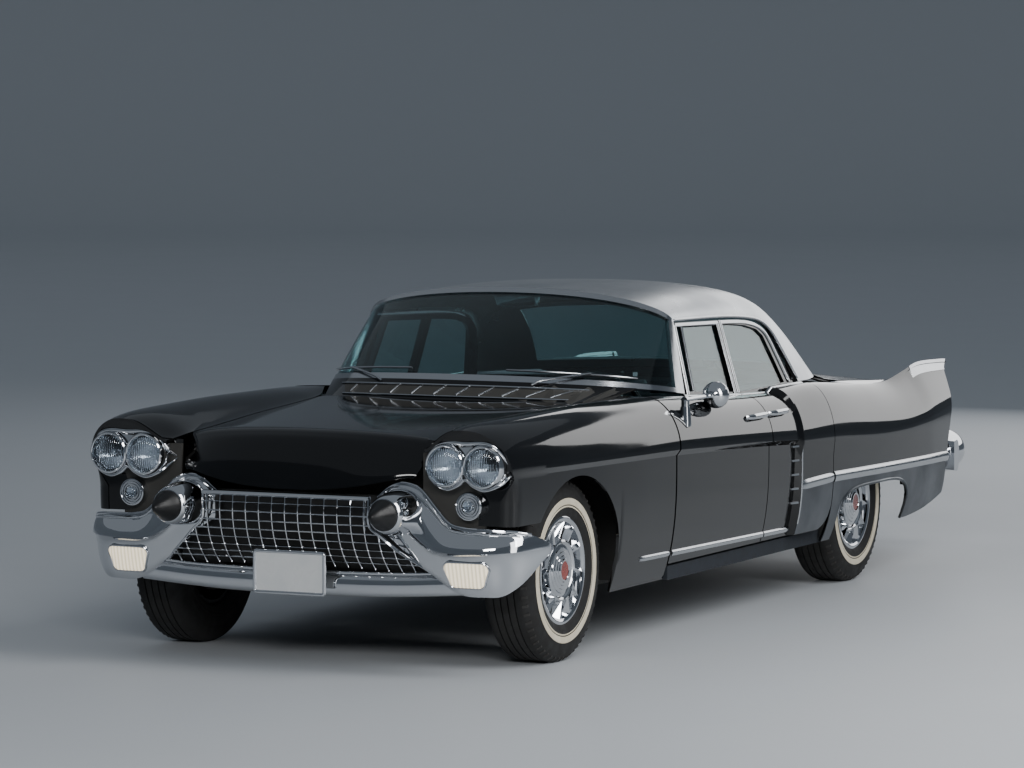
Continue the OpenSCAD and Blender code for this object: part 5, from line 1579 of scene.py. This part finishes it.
def on_column(solid):
    """A solid round the X axis, put on the column."""
    p, faces = np.asarray(solid[0]), solid[1]
    placed = WHEEL_CENTRE + p[:, :1] * COLUMN_AXIS + p[:, 1:2] * np.array([1, 0, 0]) + p[:, 2:] * COLUMN_UP
    return placed, faces


def round_section(radius, along, thick, n):
    turns = np.linspace(0, 2 * math.pi, n, endpoint=False)
    return [(radius + thick * math.cos(a), along + thick * math.sin(a)) for a in turns]


rim = on_column(lathe(round_section(RIM_R, 0, RIM_THICK, 16)))
hub = on_column(lathe([(10, 0), (48, 2), (50, 12), (44, 30), (30, 38), (10, 40)], 48))
spokes = [on_column(strip([(8, s * 40, 0), (6, s * 120, 4), (0, s * 194, 0)], (1, 0, 0), 30, 7))
          for s in (1, -1)]
piece("steering_wheel_rim", joined(rim, hub, *spokes), RIM_PLASTIC, "steering",
      ["steering_wheel"])
horn = on_column(lathe(round_section(HORN_R, 14, HORN_THICK, 12)))
piece("horn_ring", horn, CHROME, "steering")
print("steering wheel, mm across:", 2 * (RIM_R + RIM_THICK))

# %% [markdown]
# ### Door trims, headliner, mirror and dashboard strip
# These finish what shows through the glass. The door trim is a grained panel with pressed pleats, taken from
# the door's own grid, and the headliner is the roof's surface moved inward.

# %% Door trims, headliner, mirror and dashboard strip
PLEAT_FROM, PLEAT_TO, TRIM_TOP = 430, 700, 770
TRIM_THICK = np.array([5, 0, 0])
LINING_OUT, LINING_IN = 20, 24


def door_trim(grid, y0, y1):
    """Grid inside a door, with level pleats pressed into its middle."""
    columns = grid[(grid[:, 0, 1] > y0) & (grid[:, 0, 1] < y1)]
    return np.array([[(c[-1][0] - 6 - 2.5 * abs(math.sin(z / 22)) * (PLEAT_FROM < z < PLEAT_TO), c[0][1], z)
                      for z in np.linspace(max(330, c[0][2] + 20), TRIM_TOP, 60)] for c in columns])


for name, grid, (y0, y1), bodies in (("front", front_grid, (-880, 50), FRONT_DOORS),
                                     ("rear", rear_grid, (120, 640), REAR_DOORS)):
    trim = door_trim(grid, y0, y1)
    pair(f"door_trim_{name}", shell(trim, trim + TRIM_THICK), VINYL, bodies)
    rest_path = [(grid[-1][-1][0] - 22, y, 640) for y in np.linspace(y0 + 180, y1 - 120, 24)]
    armrest = strip(rest_path, (-1, 0, 0), 60, 34, 16, taper=0.6)
    pair(f"armrest_{name}", armrest, LEATHER, bodies)
lining = np.array([[canopy_point(v, u) for u in np.linspace(0.93, -0.93, 40)]
                   for v in np.linspace(0.03, 0.73, 40)])
lining_in = -normals(lining)
headliner = shell(lining + lining_in * LINING_OUT, lining + lining_in * LINING_IN)
piece("headliner", headliner, HEADLINER, "body")
mirror_glass = plaque(rounded(220, 200, 60, 18), (0, -436, 1343), [(0, 0.96), (4, 1), (12, 1), (16, 0.9)])
stalk = strip([(0, -448, 1350), (0, -480, 1368), (0, -520, 1380)], (0, 0, 1), 12, 5)
piece("cabin_mirror", joined(mirror_glass, stalk), CHROME, "body")
dash_line = [(x, -637, 880 - 8 * (x / 700) ** 2) for x in np.linspace(-700, 700, 60)]
piece("dash_moulding", strip(dash_line, (0, 1, 0.2), 18, 6), MOULDING, "body")
print("headliner:", lining.shape)

# %% [markdown]
# ## Stage
# A plain pale floor that curves up into a wall, as in a car studio. The wall stands far outside the
# camera, so that no view is blocked and no horizon shows.

# %% Floor
SWEEP_REACH, SWEEP_CURVE, SWEEP_RISE, SWEEP_FLAT = 60.0, 8.0, 32.0, 12.0


def studio_sweep(segments=96):
    """Round floor that curves up into a wall, in metres."""
    bend = [(SWEEP_REACH - SWEEP_CURVE + SWEEP_CURVE * math.sin(a), SWEEP_CURVE - SWEEP_CURVE * math.cos(a))
            for a in np.linspace(0, math.pi / 2, 12)]
    rings = [(SWEEP_FLAT, 0.0)] + bend + [(SWEEP_REACH, SWEEP_RISE)]
    turns = np.linspace(0, 2 * math.pi, segments, endpoint=False)
    faces = [list(range(segments))]
    for k in range(len(rings) - 1):
        for n in range(segments):
            a, b = k * segments + n, k * segments + (n + 1) % segments
            faces.append((a, a + segments, b + segments, b))
    mesh = bpy.data.meshes.new("floor")
    mesh.from_pydata([(r * math.cos(t), r * math.sin(t), z) for r, z in rings for t in turns], [], faces)
    mesh.polygons.foreach_set("use_smooth", [True] * len(mesh.polygons))
    return mesh


floor_mesh = studio_sweep()
# Painted studio floor: pale, matt, and faintly uneven.
floor_mesh.materials.append(mottle(finish_of("studio_floor_painted", "#c8ccd0", 0.55), 900, 0.53, 0.58))
floor = bpy.data.objects.new("floor", floor_mesh)
bpy.context.scene.collection.objects.link(floor)
print("floor faces:", len(floor_mesh.polygons))

# %% [markdown]
# ### Light
# Black lacquer and chrome show only what they reflect, so the lamps are large soft boxes: a key from the
# car's left, a fill beside it, a wide card behind the tail for the roof, and one in front for the nose. A
# grey sky fills the rest.

# %% Light
world = bpy.data.worlds.new("studio")
bpy.context.scene.world = world
world.use_nodes = True
sky = world.node_tree.nodes["Background"]
sky.inputs["Color"].default_value = linear("#9aa2ab")
sky.inputs["Strength"].default_value = 0.6


def softbox(name, place, aim, size, power):
    lamp = bpy.data.lights.new(name, "AREA")
    lamp.shape, lamp.size, lamp.size_y, lamp.energy = "RECTANGLE", size[0], size[1], power
    holder = bpy.data.objects.new(name, lamp)
    holder.matrix_world = (Matrix.Translation(place)
                           @ (Vector(aim) - Vector(place)).to_track_quat("-Z", "Y").to_matrix().to_4x4())
    holder.visible_camera = False
    bpy.context.scene.collection.objects.link(holder)


softbox("key", (5.8, -2.0, 4.8), (0.2, -0.5, 0.6), (2.0, 6.0), 260)
softbox("side_fill", (8.5, -4.0, 3.0), (0, -0.5, 0.6), (2.0, 6.0), 120)
softbox("tail_card", (1.75, 12.0, 4.2), (1.75, 0, 3.6), (10.5, 5.6), 370)
softbox("nose_fill", (5.0, -12.0, 5.0), (0, -2, 0.6), (5.0, 2.0), 520)
print("soft boxes:", len(bpy.data.lights))

# %% [markdown]
# ### Camera
# The camera stands where the photographer stood, 19 metres away with a long lens. Its place and turn come
# from matching a few marks of the car with the photograph, and the lens from the focal length in pixels.

# %% Camera
PHOTO_WIDTH_PX, FOCAL_PX, SENSOR_MM = 1024, 4359.4, 36
eye = bpy.data.cameras.new("photographer")
eye.lens = FOCAL_PX * SENSOR_MM / PHOTO_WIDTH_PX
eye.sensor_width = SENSOR_MM
eye.clip_end = 200
camera = bpy.data.objects.new("photographer", eye)
camera.location = (7.936, -17.316, 2.207)
camera.rotation_euler = (math.radians(90 - 3.755), 0, math.radians(25.266))
bpy.context.scene.collection.objects.link(camera)
bpy.context.scene.camera = camera
print("camera lens in mm:", round(eye.lens, 1))
